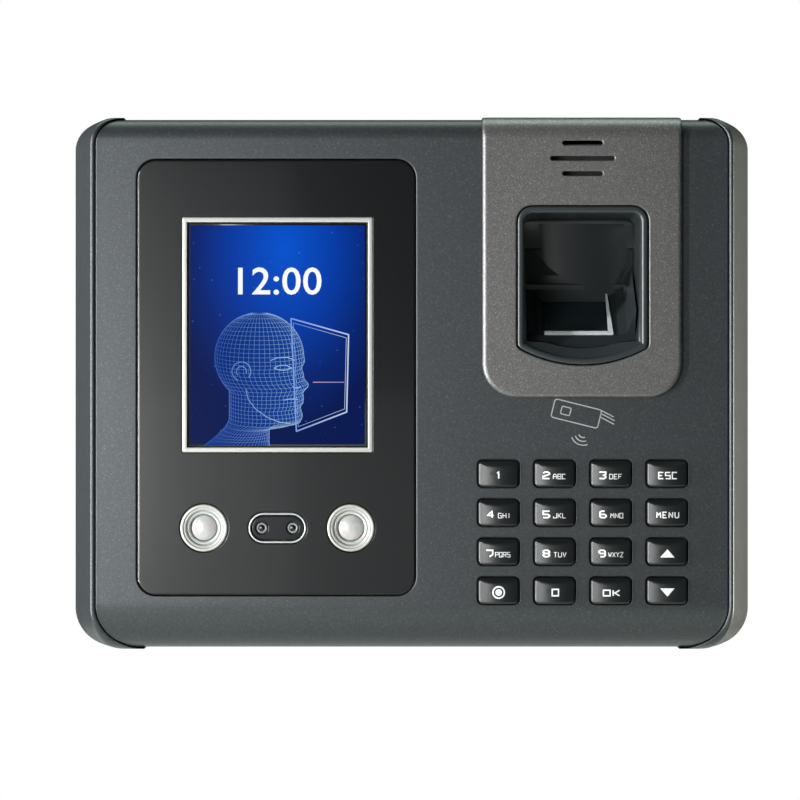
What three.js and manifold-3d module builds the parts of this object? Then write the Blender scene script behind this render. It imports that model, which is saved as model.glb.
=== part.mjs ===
// Fingerprint scanner terminal for a wall, with a colour display, a camera, lamps, a finger well, a card
// reader and a keypad.
//
// Millimetres. +X is to the right of a person facing the terminal and +Z is up. The wall is the plane Y = 0
// and the terminal stands out from it along -Y, so a depth d from the wall is y = -d. Every flat piece is
// drawn as it is seen from the front, in (x, z), and given two depths.

import * as THREE from 'three';
import { mergeVertices } from 'three/addons/utils/BufferGeometryUtils.js';
import Module from 'manifold-3d';

const wasm = await Module();
wasm.setup();

// ---------------------------------------------------------------- driving dimensions

const FIT = 0.3;                 // clearance between a piece and the piece it fits
const PAST = 5;                  // how far a cutting tool runs past what it cuts
const OVER = 1;                  // the same, where there is less room
const ROOT = 0.5;                // how far a joined part reaches into the body it grows from

// Housing
const WIDE = 178.4;              // width over the widest outline
const TALL = 138.4;              // height over the widest outline
const DEEP = 33;                 // wall to the flat of the front cover
const BACK_GAP = 2;              // wall to the back of the rear casing
const CASE_WALL = 2.4;
const BACK_WALL = 2.2;
const COVER_WALL = 2.2;
const WIDEST_AT = 12;            // depth of the widest outline
const BACK_TUCK = 4;             // how far the outline draws in towards the wall
const CHEEK_LEAN = 5.8;          // how far each cheek leans in between the widest outline and its front edge
const CHEEK_CURVE = 1.25;        // power of the curve it leans in by
const SKIN_DEPTHS = [3.5, 6, 12, 18, 25];  // depths of the sections that the casing's skin runs through
const TOP_CORNER = 7.2;          // corner radii of the outline
const BOTTOM_CORNER = 10.2;
const BOTTOM_CORNER_FRONT = 12;
const TOP_ROLL = 5.5;            // radii with which the front turns back over the top and under the bottom
const BOTTOM_ROLL = 12;
const RIM_PROUD = 0.3;           // the cheeks' front edges stand out of the cover by this
const RIM_WIDE = 1;
const GROOVE = 0.4;              // gap between the cover and the cheeks
const SEAM_AT = 12.4;            // depth of the seam over the top and bottom

// Window panel with the display, the lamps and the camera
const WINDOW_X = -35.1;          // centre
const WINDOW_Z = 1.75;
const WINDOW_WIDE = 71.8;
const WINDOW_TALL = 112.5;
const WINDOW_CORNER = 4.8;
const WINDOW_THICK = 1.5;
const LEDGE_THICK = 1.5;         // ledge of the cover that the panel sits on
const LEDGE_MARGIN = 1.5;

const PICTURE_WIDE = 46.2;
const PICTURE_TALL = 57.7;
const PICTURE_X = -34.8;
const PICTURE_Z = 12.75;
const BORDER_WIDE = 1.2;
const BORDER_CORNER = 1;
const BORDER_PROUD = 0.15;
const PICTURE_SUNK = 0.3;        // glass of the display behind the panel's face
const MODULE_MARGIN_X = 2.4;     // body of the display module around its glass
const MODULE_MARGIN_Z = 3.2;
const MODULE_THICK = 3.4;

const LAMP_ROW_Z = -37.2;        // height of the lamps and the camera
const LAMP_SPREAD = 19;          // each lamp from the camera
const LAMP_R = 6.1;
const LAMP_WELL_R = 5.2;
const LAMP_LENS_R = 3.2;
const LAMP_DEEP = 6.3;
const LAMP_PROUD = 0.3;
const LAMP_LIP = 0.2;            // width of the chamfer from the ring down into its bowl
const LAMP_BOWL_STEP = 0.9;      // the bowl narrows by this
const LAMP_BOWL_FALL = 1.2;      // over this depth
const LAMP_BOWL_DEEP = 1.5;      // and ends this far behind the cover's face
const LENS_BASE = 1.9;           // foot of the lens's dome, behind the cover's face
const LENS_DOME = 1.6;           // height of the dome
const CAMERA_WIDE = 14.9;
const CAMERA_TALL = 7.8;
const CAMERA_RING = 0.55;
const CAMERA_PROUD = 0.2;
const CAMERA_RING_BEHIND = 1;    // how far the ring reaches behind the window panel
const CAMERA_GLASS = 0.8;
const LENS_SPREAD = 4;
const LENS_R = 1.4;
const LENS_FOOT = 0.7;           // the lens's barrel is wider than its tip by this
const LENS_NECK = 0.4;           // height of the cone between the two
const LENS_BEHIND = 0.8;         // the neck's top, behind the glass
const LENS_EDGE = 0.3;           // bevel and width of the ring round the lens's dish
const LAMP_BOARD_THICK = 1.4;
const LAMP_BOARD_WIDE = 56;
const LAMP_BOARD_TALL = 17;

// Raised bezel over the top right of the front, with the finger well and the speaker slots
const BEZEL_X = 44;
const BEZEL_WIDE = 51.6;
const BEZEL_BOTTOM = -3.4;
const BEZEL_CORNER = 8.8;
const BEZEL_THICK = 1.2;
const BEZEL_TOP_THICK = 0.8;
const BEZEL_BACK = 14.4;         // depth at which it ends on the top face
const SLOT_WIDTHS = [10.4, 16.6, 10.4];
const SLOT_HIGH = 1.2;
const SLOT_PITCH = 3.95;
const SLOT_TOP_Z = 62.3;

const WELL_X = 44.1;
const WELL_WIDE = 34.2;
const WELL_TOP = 46.2;
const WELL_BOTTOM = 4.8;
const WELL_ARC = 33.8;           // radius of the bottom edge
const WELL_TOP_CORNER = 4.3;
const WELL_BOTTOM_CORNER = 2;
const WELL_RIM = 1.7;
const WELL_PROUD = 0.3;
const WELL_WALL = 1.8;
const WELL_DEPTH = 22.4;         // front face to the back wall of the well
const WELL_FLANGE = 2.5;
const WELL_FLANGE_THICK = 1.5;
const WELL_SHELF_STEP = 1;       // step in the back of the well, over the shelf
const WELL_SHELF_RISE = 2;
const WELL_EASE = 3;             // slanted corners where the back wall meets the shelf and the roof
const SLOPE_LIP = 0.6;           // rounding of the slope's front edge
const SLOPE_START_D = 7;         // slanted floor, as depths behind the front face and heights over its bottom
const SLOPE_START_Z = 8.6;
const SLOPE_END_D = 20.5;
const SLOPE_END_Z = 19.4;
const SLOPE_WALL_D = 1.2;        // back of the wall under the slope, behind and below its face
const SLOPE_WALL_Z = 2;
const PRISM_WIDE = 16.7;
const PRISM_LONG = 16.2;
const PRISM_THICK = 6;
const PRISM_SUNK = 0.4;
const SENSOR_WIDE = 23;
const SENSOR_LONG = 14.4;
const SENSOR_THICK = 10.6;
const SENSOR_GAP = 0.9;          // from the back of the wall under the slope

// Keypad
const KEY_COLUMNS = 4;
const KEY_ROWS = 4;
const KEY_PITCH_X = 14.52;
const KEY_PITCH_Z = 10.09;
const KEYPAD_X = 44.15;          // centre of the keypad
const KEYPAD_Z = -38.25;
const KEY_WIDE = 10.4;
const KEY_TALL = 6.8;
const KEY_CORNER = 1.2;
const KEY_PROUD = 1.6;
const KEY_CROWN = 0.9;           // fall of the crowned face from its middle to its sides
const KEY_FLANGE = 0.8;
const KEY_FLANGE_THICK = 0.8;
const KEY_BROW_FALL = 1.1;       // depth and height of the facet along the key's top edge
const KEY_BROW_TALL = 0.4;
const KEY_TRAVEL = 1.2;
const PLUNGER_R = 2;
const MAT_THICK = 0.8;
const MAT_SKIRT = 2;             // height of the mat's edge over the keypad board
const MAT_MARGIN = 0.6;
const MAT_EDGE = 1.2;            // thickness of the skirt
const MAT_CORNER = 2;
const PRESS_ROOM = 0.1;          // left between a pressed key and the mat, and twice that over the board
const BOARD_THICK = 1.4;
const KEY_NAMES = [
  ['key_1', 'key_2', 'key_3', 'key_esc'],
  ['key_4', 'key_5', 'key_6', 'key_menu'],
  ['key_7', 'key_8', 'key_9', 'key_up'],
  ['key_power', 'key_0', 'key_ok', 'key_down'],
];

// Card reader antenna and speaker
const ANTENNA_WIDE = 52;
const ANTENNA_TRACK = 6;         // width of the board around its middle opening
const ANTENNA_THICK = 1.2;
const BOARD_CORNER = 1.5;
const SPEAKER_WIDE = 20;
const SPEAKER_TALL = 11;
const SPEAKER_THICK = 5;
const SPEAKER_Z = 56.8;
const SPEAKER_EDGE = 1;          // width of the speaker's frame that bears on the cover
const SPEAKER_CONE_DEEP = 1.5;

// Main board, battery and sockets
const MAIN_BOARD_AT = 18.4;      // depth of the board's back face
const MAIN_BOARD_THICK = 1.6;
const MAIN_LEFT = -66;
const MAIN_RIGHT = 66;
const MAIN_TOP = 50;
const MAIN_STEP_X = 14;          // the board is cut away to the right of this, above MAIN_STEP_Z
const MAIN_STEP_Z = -8;
const POST_R = 3;
const POST_INSET = 5;
const BOARD_SCREW_R = 1.2;
const BOARD_SCREW_HEAD_R = 2.4;
const BOARD_SCREW_HEAD = 1.6;    // height of the head, and the width of its bevel
const BOARD_SCREW_BEVEL = 0.8;
const BOARD_SCREW_LONG = 8;
const BATTERY_WIDE = 56;
const BATTERY_TALL = 38;
const BATTERY_THICK = 8;
const BATTERY_CORNER = 2.5;
const BATTERY_GAP = 3;           // from the main board's back
const BATTERY_X = -30;
const BATTERY_Z = 12;

const FLEX_THICK = 0.5;          // flat cables
const DISPLAY_FLEX_WIDE = 18;
const DISPLAY_FLEX_TOP = 8;      // height of its end over the bottom of the picture
const KEYPAD_FLEX_WIDE = 14;
const KEYPAD_FLEX_TOP = 12;      // height of its end over the middle of the keypad

const BAY_WIDE = 68;             // connector bay in the back
const BAY_TOP = -47;
const BAY_DEPTH = 17.5;          // depth of its ceiling from the wall
const BAY_WALL = 1.8;
const BAY_SILL = 4.4;            // thickness of the web under the bay, back from the seam
const CABLE_SLOT_WIDE = 28;
const CABLE_SLOT_DEPTH = 10;
const SOCKET_REACH = 0.3;        // sockets end this far inside the wall of the bay
const NETWORK = {
  x: -21, wide: 16, thick: 13, long: 21, portWide: 11.8, portThick: 8, portDeep: 14,
  catchWide: 6.4, catchDeep: 11, catchThick: 1.6,
};
const USB = { x: 13, wide: 14.4, thick: 7.2, long: 14, portWide: 12.2, portThick: 4.6, portDeep: 9 };
const POWER = { x: 27, wide: 9, thick: 11, long: 14, boreR: 2.9, pinR: 1, boreDeep: 9.5 };

// Fasteners and wall plate
const CASE_SCREW_X = 12;         // from the widest outline's sides
const CASE_SCREW_Z = 13.2;       // from its top and bottom
const CASE_BOSS_R = 3.4;
const CASE_SCREW_R = 1.3;
const CASE_HEAD_R = 2.6;
const CASE_HEAD_THICK = 1.8;
const CASE_SCREW_LONG = 17;
const CASE_SCREW_TIP = 0.7;      // the screw's end is thinner by this
const CROSS_HALF_WIDE = 1.5;     // cross recess in the head
const CROSS_HALF_THICK = 0.35;
const CROSS_DEEP = 1;
const HEAD_RECESS = 3.5;         // depth of the recess for the head, from the casing's back
const PLATE_WIDE = 116;
const PLATE_TALL = 88;
const PLATE_THICK = 1.6;
const PLATE_CORNER = 5;
const WALL_HOLE_R = 2.25;
const WALL_HOLE_X = 44;
const WALL_HOLE_Z = 32;
const HOOK_WIDE = 8;
const HOOK_THICK = 1.2;
const HOOK_LIP = 2;
const HOOK_X = 34;
const HOOK_ROWS_Z = [22, -18];
const TAB_WIDE = 10;
const TAB_LONG = 9;
const PLATE_SCREW_R = 1.4;
const PLATE_SCREW_HEAD_R = 2.8;
const PLATE_SCREW_HEAD = 1.8;
const PLATE_SCREW_DEPTH = 6.4;
const PLATE_SCREW_TIP = 1.5;     // how far the screw's end passes the tab
const SCREW_SLOT_HALF = 0.4;     // slot across its head
const SCREW_SLOT_DEEP = 0.8;

// ---------------------------------------------------------------- places that follow from them

const HALF_WIDE = WIDE / 2;
const HALF_TALL = TALL / 2;
const CASE_FRONT = DEEP + RIM_PROUD;
const COVER_HALF_TALL = HALF_TALL - GROOVE;
const RIM_HALF_WIDE = HALF_WIDE - CHEEK_LEAN - RIM_WIDE;
const COVER_INSIDE = DEEP - COVER_WALL;
const CASE_FLOOR = BACK_GAP + BACK_WALL;
const WINDOW_BACK = DEEP - WINDOW_THICK;
const LEDGE_BACK = WINDOW_BACK - FIT - LEDGE_THICK;
const BORDER_BACK = LEDGE_BACK;
const MODULE_FRONT = LEDGE_BACK - FIT;
const MODULE_BACK = MODULE_FRONT - MODULE_THICK;
const BORDER_IN_WIDE = PICTURE_WIDE + 2 * FIT;
const BORDER_IN_TALL = PICTURE_TALL + 2 * FIT;
const BORDER_OUT_WIDE = BORDER_IN_WIDE + 2 * BORDER_WIDE;
const BORDER_OUT_TALL = BORDER_IN_TALL + 2 * BORDER_WIDE;
const LAMP_BACK = DEEP - LAMP_DEEP;
const LAMP_BOARD_FRONT = LAMP_BACK - FIT;
const BEZEL_FRONT = DEEP + FIT + BEZEL_THICK;
const WELL_FRONT = BEZEL_FRONT + WELL_PROUD;
const WELL_BACK = DEEP - WELL_DEPTH;
const KEY_FLANGE_FRONT = COVER_INSIDE - FIT;
const KEY_FLANGE_BACK = KEY_FLANGE_FRONT - KEY_FLANGE_THICK;
const MAT_FRONT = KEY_FLANGE_BACK - KEY_TRAVEL - PRESS_ROOM;
const MAT_BACK = MAT_FRONT - MAT_THICK;
const KEY_BOARD_FRONT = MAT_BACK - MAT_SKIRT - FIT;
const KEY_BOARD_BACK = KEY_BOARD_FRONT - BOARD_THICK;
const PLUNGER_END = KEY_BOARD_FRONT + KEY_TRAVEL + 2 * PRESS_ROOM;
const KEY_HOLES_WIDE = (KEY_COLUMNS - 1) * KEY_PITCH_X + KEY_WIDE + 2 * KEY_FLANGE;
const KEY_HOLES_TALL = (KEY_ROWS - 1) * KEY_PITCH_Z + KEY_TALL + 2 * KEY_FLANGE;
const MAT_WIDE = KEY_HOLES_WIDE + 2 * MAT_MARGIN;
const MAT_TALL = KEY_HOLES_TALL + 2 * MAT_MARGIN;
const ANTENNA_TOP = WELL_BOTTOM - WELL_FLANGE - 2 * FIT;
const ANTENNA_BOTTOM = KEYPAD_Z + MAT_TALL / 2 + 2 * FIT;
const MAIN_BOARD_FRONT = MAIN_BOARD_AT + MAIN_BOARD_THICK;
const MAIN_BOTTOM = BAY_TOP + BAY_WALL + 0.6;
const SOCKET_END = BAY_TOP + SOCKET_REACH;
const BAY_BOTTOM = -COVER_HALF_TALL + COVER_WALL + FIT + BAY_WALL;
const BOSS_X = HALF_WIDE - CASE_SCREW_X;
const BOSS_Z = HALF_TALL - CASE_SCREW_Z;

// ---------------------------------------------------------------- shapes and solids

// A closed geometry as a solid, turned right side out if its faces point inwards.
function solid(geometry) {
  const bare = geometry.clone();
  bare.deleteAttribute('normal');
  bare.deleteAttribute('uv');
  const merged = mergeVertices(bare, 1e-4);
  const corners = Float32Array.from(merged.attributes.position.array);
  const faces = Uint32Array.from(merged.index.array);
  const made = new wasm.Manifold(new wasm.Mesh({ numProp: 3, vertProperties: corners, triVerts: faces }));
  if (made.volume() > 0) return made;
  for (let i = 0; i < faces.length; i += 3) [faces[i], faces[i + 1]] = [faces[i + 1], faces[i]];
  return new wasm.Manifold(new wasm.Mesh({ numProp: 3, vertProperties: corners, triVerts: faces }));
}

function union(first, ...others) {
  return others.reduce((sum, one) => sum.add(one), first);
}

function cut(first, ...tools) {
  return tools.reduce((left, tool) => left.subtract(tool), first);
}

// A rectangle with its own radius at the top and the bottom corners, centred on x.
function roundedOutline(x, halfWide, bottom, top, topRadius, bottomRadius) {
  const shape = new THREE.Shape();
  const left = x - halfWide;
  const right = x + halfWide;
  shape.absarc(left + bottomRadius, bottom + bottomRadius, bottomRadius, Math.PI, 1.5 * Math.PI);
  shape.absarc(right - bottomRadius, bottom + bottomRadius, bottomRadius, 1.5 * Math.PI, 2 * Math.PI);
  shape.absarc(right - topRadius, top - topRadius, topRadius, 0, 0.5 * Math.PI);
  shape.absarc(left + topRadius, top - topRadius, topRadius, 0.5 * Math.PI, Math.PI);
  shape.closePath();
  return shape;
}

function roundedRectangle(x, z, wide, tall, radius) {
  return roundedOutline(x, wide / 2, z - tall / 2, z + tall / 2, radius, radius);
}

function polygon(points) {
  return new THREE.Shape(points.map(([a, b]) => new THREE.Vector2(a, b)));
}

// A front view given two depths.
function plate(shape, backDepth, frontDepth, segments = 2) {
  const options = { depth: frontDepth - backDepth, bevelEnabled: false, curveSegments: segments };
  const geometry = new THREE.ExtrudeGeometry(shape, options);
  geometry.translate(0, 0, backDepth);
  geometry.rotateX(Math.PI / 2);
  return solid(geometry);
}

// A side view in (depth, z), carried sideways from x = left to x = right.
function slab(shape, left, right, segments = 3) {
  const options = { depth: right - left, bevelEnabled: false, curveSegments: segments };
  const geometry = new THREE.ExtrudeGeometry(shape, options);
  geometry.translate(0, 0, -right);
  const across = new THREE.Vector3(0, -1, 0);
  const up = new THREE.Vector3(0, 0, 1);
  const sideways = new THREE.Vector3(-1, 0, 0);
  geometry.applyMatrix4(new THREE.Matrix4().makeBasis(across, up, sideways));
  return solid(geometry);
}

function block(x0, x1, backDepth, frontDepth, z0, z1) {
  const geometry = new THREE.BoxGeometry(x1 - x0, frontDepth - backDepth, z1 - z0);
  geometry.translate((x0 + x1) / 2, -(backDepth + frontDepth) / 2, (z0 + z1) / 2);
  return solid(geometry);
}

// A round piece about an axis that runs straight out from the wall. The profile is [radius, depth] points.
function turned(x, z, profile, segments = 18) {
  const points = profile.map(([radius, depth]) => new THREE.Vector2(radius, depth));
  const geometry = new THREE.LatheGeometry(points, segments);
  geometry.rotateX(Math.PI);
  geometry.translate(x, 0, z);
  return solid(geometry);
}

function rod(x, z, radius, backDepth, frontDepth, segments = 12) {
  return turned(x, z, [[0, backDepth], [radius, backDepth], [radius, frontDepth], [0, frontDepth]], segments);
}

// A skin through outlines that all have the same number of points, each at its own depth.
function loft(sections) {
  const rings = sections.map(({ shape, depth }) => shape.getPoints(3).map((p) => [p.x, -depth, p.y]));
  rings.forEach((ring) => {
    const [first, last] = [ring[0], ring[ring.length - 1]];
    if (Math.hypot(first[0] - last[0], first[2] - last[2]) < 1e-6) ring.pop();
  });
  const count = rings[0].length;
  const index = [];
  for (let k = 0; k + 1 < rings.length; k += 1) {
    for (let i = 0; i < count; i += 1) {
      const a = k * count + i;
      const b = k * count + ((i + 1) % count);
      index.push(a, b, a + count, b, b + count, a + count);
    }
  }
  const end = (rings.length - 1) * count;
  for (let i = 1; i + 1 < count; i += 1) {
    index.push(0, i + 1, i);
    index.push(end, end + i, end + i + 1);
  }
  const geometry = new THREE.BufferGeometry();
  geometry.setAttribute('position', new THREE.Float32BufferAttribute(rings.flat(2), 3));
  geometry.setIndex(index);
  return solid(geometry);
}

// A strip of even thickness along points of a side view.
function ribbonShape(points, thick) {
  const path = points.map(([d, z]) => new THREE.Vector2(d, z));
  const side = (sign) => path.map((p, i) => {
    const before = path[Math.max(i - 1, 0)];
    const after = path[Math.min(i + 1, path.length - 1)];
    const along = after.clone().sub(before).normalize();
    return [p.x - sign * along.y * thick / 2, p.y + sign * along.x * thick / 2];
  });
  return polygon([...side(1), ...side(-1).reverse()]);
}

// ---------------------------------------------------------------- housing

// How far the outline at a depth lies inside the widest one: [sideways, up and down].
function drawIn(depth) {
  if (depth < WIDEST_AT) {
    const share = (WIDEST_AT - depth) / (WIDEST_AT - BACK_GAP);
    return [BACK_TUCK * share ** 2, BACK_TUCK * share ** 2];
  }
  const share = (depth - WIDEST_AT) / (CASE_FRONT - WIDEST_AT);
  return [CHEEK_LEAN * share ** CHEEK_CURVE, 0];
}

function bodyOutline(depth, wall) {
  const [sideways, upright] = drawIn(depth);
  const share = Math.max(0, (depth - WIDEST_AT) / (CASE_FRONT - WIDEST_AT));
  const bottomRadius = BOTTOM_CORNER + (BOTTOM_CORNER_FRONT - BOTTOM_CORNER) * share;
  const tall = HALF_TALL - upright - wall;
  const wide = HALF_WIDE - sideways - wall;
  return roundedOutline(0, wide, -tall, tall, TOP_CORNER - wall, bottomRadius - wall);
}

function bodyLoft(depths, wall) {
  return loft(depths.map((depth) => ({ shape: bodyOutline(depth, wall), depth })));
}

// The front view of everything between the cheeks, drawn in by a gap.
function betweenCheeks(gap) {
  const side = RIM_HALF_WIDE - gap;
  const level = HALF_TALL - gap;
  const top = TOP_CORNER - gap;
  const bottom = BOTTOM_CORNER_FRONT - gap;
  const over = HALF_TALL + 2 * PAST;
  const shape = new THREE.Shape();
  shape.moveTo(side - bottom, -over);
  shape.lineTo(side - bottom, -level);
  shape.absarc(side - bottom, -level + bottom, bottom, 1.5 * Math.PI, 2 * Math.PI);
  shape.absarc(side - top, level - top, top, 0, 0.5 * Math.PI);
  shape.lineTo(side - top, over);
  shape.lineTo(-side + top, over);
  shape.absarc(-side + top, level - top, top, 0.5 * Math.PI, Math.PI);
  shape.absarc(-side + bottom, -level + bottom, bottom, Math.PI, 1.5 * Math.PI);
  shape.lineTo(-side + bottom, -over);
  shape.closePath();
  return shape;
}

// The side view of a front that turns back over the top and under the bottom.
function archShape(front, back, top, bottom, topRoll, bottomRoll) {
  const shape = new THREE.Shape();
  shape.moveTo(back, bottom);
  shape.lineTo(front - bottomRoll, bottom);
  shape.absarc(front - bottomRoll, bottom + bottomRoll, bottomRoll, 1.5 * Math.PI, 2 * Math.PI);
  shape.absarc(front - topRoll, top - topRoll, topRoll, 0, 0.5 * Math.PI);
  shape.lineTo(back, top);
  shape.closePath();
  return shape;
}

function caseScrewPlaces() {
  return [[-BOSS_X, BOSS_Z], [BOSS_X, BOSS_Z], [-BOSS_X, -BOSS_Z], [BOSS_X, -BOSS_Z]];
}

function boardScrewPlaces() {
  return [
    [MAIN_LEFT + POST_INSET, MAIN_TOP - POST_INSET],
    [MAIN_STEP_X - POST_INSET, MAIN_TOP - POST_INSET],
    [MAIN_LEFT + POST_INSET, MAIN_BOTTOM + POST_INSET],
    [MAIN_RIGHT - POST_INSET, MAIN_BOTTOM + POST_INSET],
  ];
}

function hookPlaces() {
  return HOOK_ROWS_Z.flatMap((z) => [[-HOOK_X, z], [HOOK_X, z]]);
}

function rearCasing() {
  const depths = [BACK_GAP, ...SKIN_DEPTHS, CASE_FRONT];
  const insideDepths = [CASE_FLOOR, ...SKIN_DEPTHS.filter((depth) => depth > CASE_FLOOR), CASE_FRONT + PAST];
  const reach = HALF_WIDE + PAST;
  const over = HALF_TALL + RIM_PROUD;
  const front = archShape(CASE_FRONT, -PAST, over, -over, TOP_ROLL + RIM_PROUD, BOTTOM_ROLL + RIM_PROUD);
  const skin = bodyLoft(depths, 0).intersect(slab(front, -reach, reach));
  const hollow = bodyLoft(insideDepths, CASE_WALL);
  const coverSpace = plate(betweenCheeks(0), SEAM_AT, CASE_FRONT + PAST);
  let body = cut(skin, hollow, coverSpace);

  // Connector bay: a box of its own let into the floor, open to the wall.
  const bayHalf = BAY_WIDE / 2;
  const casing = HALF_TALL - CASE_WALL;
  body = union(
    body,
    block(-bayHalf - BAY_WALL, bayHalf + BAY_WALL, BACK_GAP, BAY_DEPTH + BAY_WALL,
      BAY_BOTTOM - BAY_WALL, BAY_TOP + BAY_WALL),
    block(-bayHalf - BAY_WALL, bayHalf + BAY_WALL, SEAM_AT - BAY_SILL, SEAM_AT, -casing - OVER, BAY_BOTTOM),
  );

  const posts = boardScrewPlaces().map(([x, z]) => rod(x, z, POST_R, BACK_GAP + OVER, MAIN_BOARD_AT - FIT));
  const bosses = caseScrewPlaces().map(([x, z]) => rod(x, z, CASE_BOSS_R, BACK_GAP + OVER, SEAM_AT));
  body = union(body, ...posts, ...bosses);

  const postHoles = boardScrewPlaces().map(([x, z]) => (
    rod(x, z, BOARD_SCREW_R + FIT, MAIN_BOARD_FRONT - BOARD_SCREW_LONG - OVER, MAIN_BOARD_AT + PAST)));
  const screwHoles = caseScrewPlaces().map(([x, z]) => rod(x, z, CASE_SCREW_R + FIT, -PAST, DEEP - PAST));
  const headHoles = caseScrewPlaces().map(([x, z]) => (
    rod(x, z, CASE_HEAD_R + FIT, -PAST, BACK_GAP + HEAD_RECESS)));
  const hookSlots = hookPlaces().map(([x, z]) => {
    const half = HOOK_WIDE / 2 + FIT;
    return block(x - half, x + half, -PAST, CASE_FLOOR + FIT, z - FIT, z + HOOK_THICK + HOOK_LIP + FIT);
  });
  const socketHoles = [NETWORK, USB, POWER].map((socket) => {
    const half = socket.wide / 2 + FIT;
    const back = MAIN_BOARD_AT - 2 * FIT - socket.thick;
    return block(socket.x - half, socket.x + half, back, BAY_DEPTH + BAY_WALL + PAST, BAY_TOP - OVER,
      BAY_TOP + BAY_WALL + OVER);
  });
  const slotHalf = CABLE_SLOT_WIDE / 2;
  const tabHalf = TAB_WIDE / 2 + FIT;
  const plateEdge = -PLATE_TALL / 2;
  return cut(
    body,
    block(-bayHalf, bayHalf, -PAST, BAY_DEPTH, BAY_BOTTOM, BAY_TOP),
    block(-slotHalf, slotHalf, -PAST, CABLE_SLOT_DEPTH, -HALF_TALL - PAST, BAY_BOTTOM + OVER),
    block(-tabHalf, tabHalf, -PAST, CASE_FLOOR + FIT, plateEdge - FIT, plateEdge + PLATE_THICK + FIT),
    plateScrewRod(PLATE_SCREW_R + FIT, BAY_TOP - OVER, BAY_TOP + BAY_WALL + OVER),
    ...postHoles,
    ...screwHoles,
    ...headHoles,
    ...hookSlots,
    ...socketHoles,
  );
}

function coverSkin(wall) {
  const inset = COVER_HALF_TALL - wall;
  const shape = archShape(DEEP - wall, SEAM_AT + GROOVE - (wall > 0 ? PAST : 0), inset, -inset,
    TOP_ROLL - wall, BOTTOM_ROLL - wall);
  return slab(shape, -HALF_WIDE, HALF_WIDE);
}

function fingerOutline(grow) {
  const half = WELL_WIDE / 2 + grow;
  const arc = WELL_ARC + grow;
  const corner = WELL_BOTTOM_CORNER + Math.max(grow, 0.5 - WELL_BOTTOM_CORNER);
  const topCorner = WELL_TOP_CORNER + grow;
  const arcZ = WELL_BOTTOM + WELL_ARC;
  const cornerX = half - corner;
  const drop = Math.sqrt((arc - corner) ** 2 - cornerX ** 2);
  const turn = Math.atan2(drop, cornerX);
  const top = WELL_TOP + grow;
  const shape = new THREE.Shape();
  shape.absarc(WELL_X - cornerX, arcZ - drop, corner, Math.PI, Math.PI + turn);
  shape.absarc(WELL_X, arcZ, arc, Math.PI + turn, 2 * Math.PI - turn);
  shape.absarc(WELL_X + cornerX, arcZ - drop, corner, 2 * Math.PI - turn, 2 * Math.PI);
  shape.absarc(WELL_X + half - topCorner, top - topCorner, topCorner, 0, 0.5 * Math.PI);
  shape.absarc(WELL_X - half + topCorner, top - topCorner, topCorner, 0.5 * Math.PI, Math.PI);
  shape.closePath();
  return shape;
}

function keyPlaces() {
  return KEY_NAMES.flatMap((row, down) => row.map((name, across) => ({
    name,
    x: KEYPAD_X + (across - (KEY_COLUMNS - 1) / 2) * KEY_PITCH_X,
    z: KEYPAD_Z - (down - (KEY_ROWS - 1) / 2) * KEY_PITCH_Z,
  })));
}

function windowOutline(grow) {
  return roundedRectangle(WINDOW_X, WINDOW_Z, WINDOW_WIDE + 2 * grow, WINDOW_TALL + 2 * grow,
    WINDOW_CORNER + grow);
}

function lampPlaces() {
  return [PICTURE_X - LAMP_SPREAD, PICTURE_X + LAMP_SPREAD];
}

function cameraOutline(grow) {
  const tall = CAMERA_TALL + 2 * grow;
  return roundedRectangle(PICTURE_X, LAMP_ROW_Z, CAMERA_WIDE + 2 * grow, tall, tall / 2 - 0.01);
}

// What passes through the window panel and the ledge behind it.
function windowHoles(backDepth, frontDepth) {
  const border = roundedRectangle(PICTURE_X, PICTURE_Z, BORDER_OUT_WIDE + 2 * FIT, BORDER_OUT_TALL + 2 * FIT,
    BORDER_CORNER + FIT);
  return union(
    plate(border, backDepth, frontDepth, 1),
    plate(cameraOutline(FIT), backDepth, frontDepth, 3),
    ...lampPlaces().map((x) => rod(x, LAMP_ROW_Z, LAMP_R + FIT, backDepth, frontDepth, 18)),
  );
}

function frontCover() {
  const pad = plate(windowOutline(LEDGE_MARGIN), LEDGE_BACK, COVER_INSIDE + ROOT);
  const bosses = caseScrewPlaces().map(([x, z]) => (
    rod(x, z, CASE_BOSS_R, SEAM_AT + GROOVE, COVER_INSIDE + ROOT)));
  const arch = coverSkin(0).intersect(plate(betweenCheeks(GROOVE), -PAST, DEEP + PAST));
  const shell = cut(arch, coverSkin(COVER_WALL));
  const pilots = caseScrewPlaces().map(([x, z]) => (
    rod(x, z, CASE_SCREW_R + FIT, 0, BACK_GAP + HEAD_RECESS + CASE_SCREW_LONG + OVER)));
  const keyHoles = keyPlaces().map(({ x, z }) => plate(
    roundedRectangle(x, z, KEY_WIDE + 2 * FIT, KEY_TALL + 2 * FIT, KEY_CORNER + FIT),
    COVER_INSIDE - PAST, DEEP + PAST, 1));
  const soundHalf = SPEAKER_WIDE / 2 - SPEAKER_EDGE;
  const soundHole = block(WELL_X - soundHalf, WELL_X + soundHalf, COVER_INSIDE - PAST, DEEP + PAST,
    SPEAKER_Z - SPEAKER_TALL / 2 + SPEAKER_EDGE, SLOT_TOP_Z + SLOT_HIGH);
  return cut(
    union(shell, pad, ...bosses),
    plate(windowOutline(FIT), WINDOW_BACK - FIT, DEEP + PAST),
    windowHoles(LEDGE_BACK - PAST, DEEP + PAST),
    plate(fingerOutline(0), COVER_INSIDE - PAST, DEEP + PAST),
    soundHole,
    ...keyHoles,
    ...pilots,
  );
}

// ---------------------------------------------------------------- window panel and what it shows

function windowPanel() {
  return cut(plate(windowOutline(0), WINDOW_BACK, DEEP), windowHoles(WINDOW_BACK - PAST, DEEP + PAST));
}

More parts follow.
